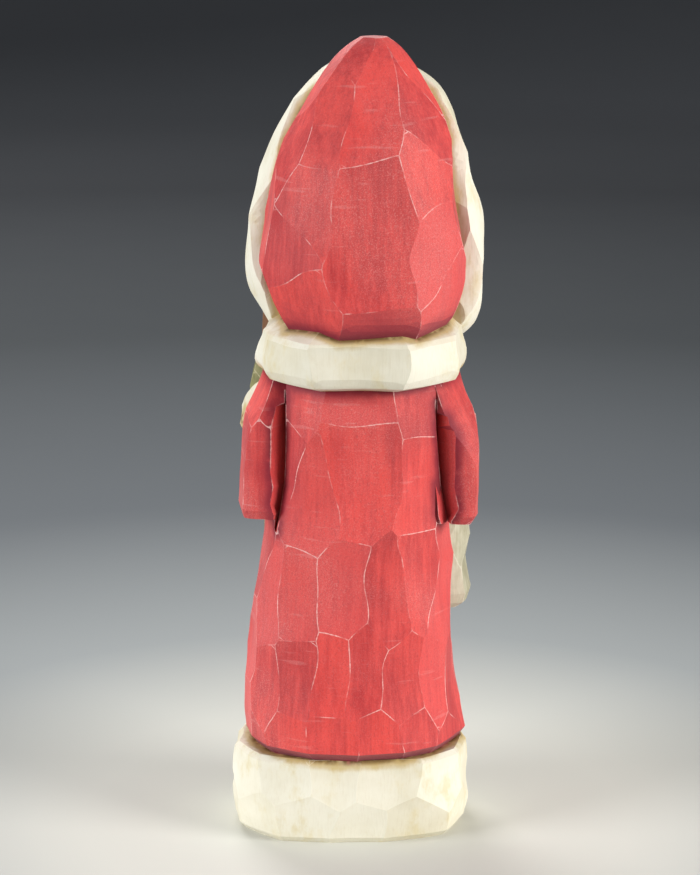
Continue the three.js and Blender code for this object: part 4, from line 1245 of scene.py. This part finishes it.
class Graph:
    """A short way of wiring one material's nodes."""

    def __init__(self, name):
        self.material = bpy.data.materials.new(name)
        self.material.use_nodes = True
        self.nodes = self.material.node_tree.nodes
        self.links = self.material.node_tree.links
        self.shader = next(node for node in self.nodes if node.type == "BSDF_PRINCIPLED")
        self.place = self.add("ShaderNodeTexCoord").outputs["Object"]
        self.colour = None

    def add(self, kind, **settings):
        node = self.nodes.new(kind)
        for name, value in settings.items():
            setattr(node, name, value)
        return node

    def plug(self, socket, value):
        if isinstance(value, bpy.types.NodeSocket):
            self.links.new(value, socket)
        else:
            socket.default_value = value

    def math(self, operation, a, b=0.0, c=0.0):
        node = self.add("ShaderNodeMath", operation=operation)
        for socket, value in zip(node.inputs, (a, b, c)):
            self.plug(socket, value)
        return node.outputs[0]

    def attribute(self, name):
        return self.add("ShaderNodeAttribute", attribute_name=name).outputs["Fac"]

    def facing_down(self):
        """1 on what faces down, 0 on what faces out or up: the mask of a painted shade."""
        node = self.add("ShaderNodeSeparateXYZ")
        self.plug(node.inputs[0], self.add("ShaderNodeNewGeometry").outputs["True Normal"])
        return self.between(node.outputs[2], -0.55, -0.25, 1.0, 0.0)

    def axes(self):
        node = self.add("ShaderNodeSeparateXYZ")
        self.plug(node.inputs[0], self.place)
        return node.outputs

    def stretched(self, x, y, z, shift=0.0):
        node = self.add("ShaderNodeMapping")
        self.plug(node.inputs["Vector"], self.place)
        node.inputs["Scale"].default_value = (x, y, z)
        node.inputs["Location"].default_value = (shift, shift, shift)
        return node.outputs[0]

    def noise(self, scale, detail=3.0, roughness=0.55, vector=None):
        node = self.add("ShaderNodeTexNoise")
        self.plug(node.inputs["Vector"], self.place if vector is None else vector)
        node.inputs["Scale"].default_value = scale
        node.inputs["Detail"].default_value = detail
        node.inputs["Roughness"].default_value = roughness
        return node.outputs["Fac"]

    def between(self, value, low, high, start=0.0, end=1.0):
        """Runs smoothly from start to end as the value goes from low to high."""
        node = self.add("ShaderNodeMapRange", interpolation_type="SMOOTHSTEP")
        self.plug(node.inputs["Value"], value)
        for name, setting in (("From Min", low), ("From Max", high), ("To Min", start), ("To Max", end)):
            node.inputs[name].default_value = setting
        return node.outputs["Result"]

    def mix(self, share, a, b):
        node = self.add("ShaderNodeMix", data_type="RGBA")
        self.plug(node.inputs["Factor"], share)
        colours = [socket for socket in node.inputs if socket.type == "RGBA"]
        self.plug(colours[0], a)
        self.plug(colours[1], b)
        return next(socket for socket in node.outputs if socket.type == "RGBA")

    def times(self, *values):
        product = values[0]
        for value in values[1:]:
            product = self.math("MULTIPLY", product, value)
        return product

    def sum(self, *values):
        total = values[0]
        for value in values[1:]:
            total = self.math("ADD", total, value)
        return total

    def swing(self, value, amount):
        """A value from 0 to 1, scaled and centred on 0."""
        return self.math("MULTIPLY_ADD", value, amount, -amount / 2)

    def grain(self, scales, shift, detail, roughness):
        """Noise with a scale of its own on each axis."""
        return self.noise(1.0, detail, roughness, self.stretched(*scales, shift))

    def close_to(self, what, low, high):
        """1 where a wear map is at low or less, 0 from high on."""
        return self.between(self.attribute(what), low, high, 1.0, 0.0)

    def ground(self, share, deep, lit):
        """The paint's first colour, from deep to lit, as display colours."""
        self.colour = self.mix(share, srgb(*deep), srgb(*lit))

    def coat(self, tone, *shares):
        """Lays a display colour over the paint so far, as thick as the product of the shares."""
        self.colour = self.mix(self.times(*shares), self.colour, srgb(*tone))

    def near(self, x, z, wide, tall):
        """1 inside an ellipse on the front at x and z in the block's millimetres, 0 outside it."""
        axes = self.axes()
        parts = []
        for axis, middle, half in ((axes[0], x - BLOCK_MIDDLE[0], wide), (axes[2], z, tall)):
            parts.append(self.math("MULTIPLY_ADD", axis, 1 / (MM * half), -middle / half))
        squares = [self.math("MULTIPLY", part, part) for part in parts]
        return self.between(self.sum(*squares), 0.8, 1.2, 1.0, 0.0)

    def bump(self, height, depth, strength=1.0, onto=None):
        node = self.add("ShaderNodeBump")
        self.plug(node.inputs["Height"], height)
        node.inputs["Distance"].default_value = depth
        node.inputs["Strength"].default_value = strength
        if onto is not None:
            self.plug(node.inputs["Normal"], onto)
        return node.outputs[0]

    def finish(self, roughness, normal, specular=0.3, sheen=0.0):
        self.plug(self.shader.inputs["Base Color"], self.colour)
        self.plug(self.shader.inputs["Roughness"], roughness)
        self.plug(self.shader.inputs["Normal"], normal)
        self.shader.inputs["Specular IOR Level"].default_value = specular
        self.shader.inputs["Sheen Weight"].default_value = sheen
        return self.material


def wood_relief(graph, share=1.0):
    """Raised grain that runs up the figure, under a thin coat of brushed paint."""
    fibres = graph.grain((2600, 2600, 150), 0.0, 5.0, 0.6)
    brush = graph.grain((700, 700, 160), 3.0, 3.0, 0.5)
    relief = graph.bump(fibres, FIBRE_RELIEF * share, 0.6)
    return graph.bump(brush, BRUSH_RELIEF * share, 0.5, relief), fibres


def ridge_line(graph, width, amount, salt):
    """Broken hair lines where the paint has worn through on the ridges."""
    breaks = graph.grain((110, 110, 110), salt, 3.0, 0.6)
    wobble = graph.grain((1300, 1300, 1300), salt, 2.0, 0.5)
    reach = graph.math("MULTIPLY_ADD", wobble, width * 1.6, -width * 0.2)
    line = graph.between(graph.math("SUBTRACT", reach, graph.attribute("ridge")), -0.07, 0.07)
    dry = graph.between(graph.noise(2200.0, 2.0, 0.6), 0.3, 0.55, 0.5, 1.0)
    return graph.times(line, graph.between(breaks, 0.45, 0.62), dry, amount)


def red_paint(name, lit, warm, deep, line_amount, shade_and_wax):
    """Thin red paint, streaky along the grain and dusty in patches, with painted shade: dark in the creases,
    along the other paints and on what faces down.
    """
    graph = Graph(name)
    relief = wood_relief(graph)[0]
    streaks = graph.grain((900, 900, 60), 1.0, 6.0, 0.62)
    bands = graph.grain((200, 200, 24), 6.0, 3.0, 0.55)
    clouds = graph.noise(60.0, 4.0, 0.6)
    facet = graph.attribute("tint")
    tones = [graph.swing(streaks, 1.1), graph.swing(bands, 0.8), graph.swing(clouds, 1.0)]
    shade = graph.sum(*tones, graph.swing(facet, 0.4), 0.6)
    graph.ground(graph.between(shade, 0.1, 1.0), deep, lit)
    warmth = graph.sum(graph.swing(bands, 1.6), graph.swing(facet, 0.8), 0.4)
    graph.coat(warm, graph.between(warmth, 0.2, 0.9), 0.4)
    graph.coat((172, 84, 94), graph.between(facet, 0.72, 0.8), 0.2)

    open_share = graph.attribute("openness")
    dusty = graph.between(graph.grain((30, 30, 30), 12.0, 2.0, 0.5), 0.44, 0.62)
    specks = graph.between(graph.noise(3600.0, 3.0, 0.7), 0.46, 0.7)
    chatter = graph.between(graph.grain((70, 70, 700), 3.4, 2.0, 0.5), 0.64, 0.72)
    dust = [graph.times(dusty, specks, 0.27), graph.times(specks, 0.14), graph.times(dusty, 0.06)]
    graph.coat((226, 158, 154), graph.sum(*dust, graph.times(chatter, 0.18)), open_share)
    grit = graph.between(graph.grain((2600, 2600, 1560), 5980.0, 3.0, 0.7), 0.5, 0.72)
    graph.coat((138, 44, 54), grit, 0.32)

    # Painted shade: darker red where little is open round a point, as in creases and slits.
    graph.coat((104, 22, 34), graph.between(open_share, 0.4, 0.93, shade_and_wax, 0.0))
    # Painted shade with some dark wax: a broken dark line along the other paints.
    shade_and_smudge = graph.between(graph.noise(240.0, 3.0, 0.6), 0.26, 0.54)
    graph.coat((104, 18, 34), graph.close_to("border", 0.15, 2.4), shade_and_smudge, shade_and_wax)
    # Painted shade: a broad, broken dark crimson band near the other paints.
    band_shade = graph.between(graph.grain((90, 90, 54), 729.0, 3.0, 0.6), 0.34, 0.58)
    graph.coat((142, 26, 46), graph.close_to("border", 0.6, 5.0), band_shade, shade_and_wax * 0.75)
    # Painted shade on what faces down.
    graph.coat((140, 30, 52), graph.facing_down(), 0.75)
    graph.coat((240, 190, 184), ridge_line(graph, 0.19, line_amount, 2.0))
    return graph.finish(graph.math("MULTIPLY_ADD", clouds, 0.14, 0.55), relief, sheen=0.14)


def cream_paint():
    """Cream paint with dark wax rubbed into its creases and a little red strayed over the edge."""
    graph = Graph(PAINTS[CREAM])
    relief, fibres = wood_relief(graph)
    clouds = graph.noise(70.0, 4.0, 0.6)
    shade = graph.sum(graph.swing(clouds, 1.3), graph.swing(graph.attribute("tint"), 0.5), 0.6)
    graph.ground(graph.between(shade, 0.0, 1.0), (216, 208, 182), (237, 233, 216))
    smears = graph.grain((160, 160, 90), 5.0, 5.0, 0.65)
    graph.coat((214, 196, 138), graph.between(smears, 0.5, 0.72), 0.5)
    shelter = graph.sum(graph.attribute("openness"), graph.swing(smears, -0.5))
    graph.coat((168, 142, 84), graph.between(shelter, 0.5, 0.93, 1.0, 0.0), 0.8)
    stain = graph.sum(graph.close_to("border", 0.5, 4.5), smears)
    graph.coat((196, 170, 104), graph.between(stain, 0.75, 1.35), 0.7)
    grime = graph.between(graph.grain((200, 200, 200), 140.0, 3.0, 0.6), 0.32, 0.54)
    graph.coat((106, 76, 38), graph.close_to("border", 0.15, 1.8), grime, 0.9)
    stray = graph.between(graph.grain((150, 150, 150), 30.0, 3.0, 0.65), 0.54, 0.66)
    graph.coat((214, 118, 122), graph.close_to("border", 0.1, 1.6), stray, 0.55)
    graph.coat((180, 160, 112), graph.between(fibres, 0.48, 0.75), 0.12)
    graph.coat((250, 246, 230), ridge_line(graph, 0.17, 0.35, 7.0))
    return graph.finish(graph.math("MULTIPLY_ADD", clouds, 0.12, 0.5), relief)


def plain_paint(name, lit, deep, crease, line, line_amount):
    """Thin paint over carved wood, with worn ridges and painted shade in the creases."""
    graph = Graph(name)
    relief, fibres = wood_relief(graph)
    streaks = graph.grain((800, 800, 160), 4.0, 5.0, 0.62)
    clouds = graph.noise(150.0, 4.0, 0.6)
    tones = [graph.swing(streaks, 1.0), graph.swing(clouds, 1.2), graph.swing(graph.attribute("tint"), 0.4)]
    graph.ground(graph.between(graph.sum(*tones, 0.55), 0.0, 1.0), deep, lit)
    # Painted shade: the crease colour where little is open round a point.
    graph.coat(crease, graph.between(graph.attribute("openness"), 0.4, 0.95, 0.8, 0.0))
    graph.coat(crease, graph.between(fibres, 0.5, 0.75), 0.15)
    graph.coat(line, ridge_line(graph, 0.22, line_amount, 9.0))
    return graph.finish(graph.math("MULTIPLY_ADD", clouds, 0.14, 0.5), relief)


def skin_paint():
    """A face painted in a few plain touches: rosy cheeks, calm open eyes with a painted highlight and a lower
    lip, with painted shade in its creases.
    """
    graph = Graph(PAINTS[SKIN])
    relief, fibres = wood_relief(graph, 0.6)
    clouds = graph.noise(180.0, 4.0, 0.6)
    graph.ground(graph.between(clouds, 0.3, 0.7), (226, 168, 136), (240, 192, 162))
    eye_z = FACE["eye"]
    for side in (-1, 1):
        graph.coat(ROSY, graph.near(HEAD_X + side * CHEEK["x"], CHEEK["z"], 5.4, 4.4), 0.45)
        x = HEAD_X + side * EYE_X
        for colour, right, up, wide, tall in EYE_TOUCHES:
            graph.coat(colour, graph.near(x + right, eye_z + up, wide, tall))
    graph.coat((186, 76, 70), graph.near(HEAD_X, LIP_Z, 4.4, 1.3), 0.75)
    graph.coat(ROSY, graph.near(HEAD_X, FACE["nose_tip"], 2.8, 2.4), 0.35)
    # Painted shade: darker where little is open round a point, in the face's creases.
    graph.coat((120, 66, 44), graph.between(graph.attribute("openness"), 0.35, 0.85, 0.75, 0.0))
    graph.coat((160, 100, 70), graph.between(fibres, 0.5, 0.75), 0.12)
    return graph.finish(0.5, relief)


def bare_wood():
    """The uncut underside: pale end grain with rings and saw marks."""
    graph = Graph(PAINTS[BARE])
    rings = graph.add("ShaderNodeTexWave", wave_type="RINGS", rings_direction="Z")
    graph.plug(rings.inputs["Vector"], graph.stretched(1, 1, 1, 0.06))
    for setting, value in (("Scale", 160.0), ("Distortion", 3.0), ("Detail", 2.0)):
        rings.inputs[setting].default_value = value
    saw = graph.grain((60, 2400, 60), 0.0, 4.0, 0.6)
    graph.ground(rings.outputs["Fac"], (226, 205, 166), (206, 180, 138))
    graph.coat((180, 150, 108), graph.between(saw, 0.45, 0.7), 0.3)
    return graph.finish(0.75, graph.bump(saw, SAW_RELIEF, 0.6), 0.2)


def make_paints():
    return [
        red_paint(PAINTS[RED], (230, 80, 75), (232, 66, 54), (182, 47, 50), 0.85, 0.85),
        # The slit walls take a lighter copy of the red with little crease shade: painted light.
        red_paint(PAINTS[SLIT_RED], (244, 84, 78), (244, 70, 58), (204, 56, 60), 0.4, 0.15),
        cream_paint(),
        skin_paint(),
        *(plain_paint(PAINTS[slot], *PLAIN_PAINTS[slot]) for slot in (HAIR, OLIVE, BROWN, SACK)),
        bare_wood(),
    ]


def santa():
    """The carved figure, in metres in the CAD model's frame."""
    mesh = without_islands(joined_santa())
    add_wear_maps(mesh)
    mesh.transform(Matrix.Scale(MM, 4) @ Matrix.Translation([-value for value in BLOCK_MIDDLE]))
    mesh.polygons.foreach_set("use_smooth", [True] * len(mesh.polygons))
    mesh.set_sharp_from_angle(angle=SHARP_ANGLE)
    mesh.name = "carved_santa"
    return in_scene("carved_santa", mesh)


def backdrop_paint():
    """Studio paper with painted light: pale in a pool round the figure and darker away from it, the same on
    every side.
    """
    graph = Graph("studio_paper")
    x, y, z = graph.axes()
    out = graph.math("SQRT", graph.sum(graph.times(x, x), graph.times(y, y)))
    ramp = graph.add("ShaderNodeValToRGB")
    graph.plug(ramp.inputs["Fac"], graph.times(graph.sum(out, z), 1 / BACKDROP_REACH))
    stops = ramp.color_ramp.elements
    stops[0].position, stops[0].color = BACKDROP_TONES[0]
    stops[1].position, stops[1].color = BACKDROP_TONES[-1]
    for position, colour in BACKDROP_TONES[1:-1]:
        stops.new(position).color = colour
    graph.colour = ramp.outputs["Color"]
    graph.coat((150, 146, 138), graph.noise(25.0, 4.0, 0.6), 0.02)
    return graph.finish(0.85, graph.bump(graph.noise(900.0), PAPER_RELIEF, 0.3), 0.2)


def backdrop():
    """A round sweep of paper: a flat floor that curves up into a wall, beyond the camera."""
    profile = [(radius, 0.0) for radius in (*FLOOR_RINGS, BOWL_FLAT)]
    for step in range(1, BOWL_STEPS + 1):
        turn = step / BOWL_STEPS * math.pi / 2
        profile.append((BOWL_FLAT + BOWL_CURVE * math.sin(turn), BOWL_CURVE * (1 - math.cos(turn))))
    profile.append((BOWL_FLAT + BOWL_CURVE, BOWL_TOP))
    work = bmesh.new()
    hub = work.verts.new((0, 0, 0))
    turns = [k * TURN / BOWL_SIDES for k in range(BOWL_SIDES)]
    rings = [
        [work.verts.new((radius * math.cos(turn), radius * math.sin(turn), height)) for turn in turns]
        for radius, height in profile
    ]
    for k in range(BOWL_SIDES):
        after = (k + 1) % BOWL_SIDES
        work.faces.new((hub, rings[0][k], rings[0][after]))
        for low, high in zip(rings, rings[1:]):
            work.faces.new((low[k], high[k], high[after], low[after]))
    mesh = bpy.data.meshes.new("studio_sweep")
    work.to_mesh(mesh)
    work.free()
    mesh.polygons.foreach_set("use_smooth", [True] * len(mesh.polygons))
    mesh.materials.append(backdrop_paint())
    return in_scene("studio_sweep", mesh)


def soft_light(name, place, watts, colour):
    lamp = bpy.data.lights.new(name, "AREA")
    lamp.shape = "DISK"
    lamp.size = LIGHT_SIZE
    lamp.energy = watts
    lamp.color = colour
    light = in_scene(name, lamp)
    light.location = place
    light.rotation_euler = (Vector(LIGHT_TARGET) - Vector(place)).to_track_quat("-Z", "Y").to_euler()


def photograph_camera():
    camera = bpy.data.cameras.new("camera")
    camera.lens = CAMERA_LENS
    camera.sensor_fit = "VERTICAL"
    camera.sensor_height = CAMERA_SENSOR
    camera.clip_start, camera.clip_end = CAMERA_CLIP
    seen = in_scene("camera", camera)
    tilt = math.radians(CAMERA_ELEVATION)
    away = Vector((0, math.cos(tilt), math.sin(tilt))) * CAMERA_DISTANCE
    place = Vector(CAMERA_TARGET) + away - Vector(BLOCK_MIDDLE)
    seen.location = place * MM
    seen.rotation_euler = (-away).to_track_quat("-Z", "Y").to_euler()
    bpy.context.scene.camera = seen


photograph_camera()
MATERIALS = make_paints()
figure = santa()
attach(figure, "root")
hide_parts("santa_figurine")
backdrop()

for light in LIGHTS:
    soft_light(*light)

world = bpy.data.worlds.new("studio_air")
world.use_nodes = True
air = world.node_tree.nodes["Background"].inputs
air["Color"].default_value = AIR_COLOUR
air["Strength"].default_value = AIR_STRENGTH
bpy.context.scene.world = world
bpy.context.scene.view_settings.view_transform = "Standard"
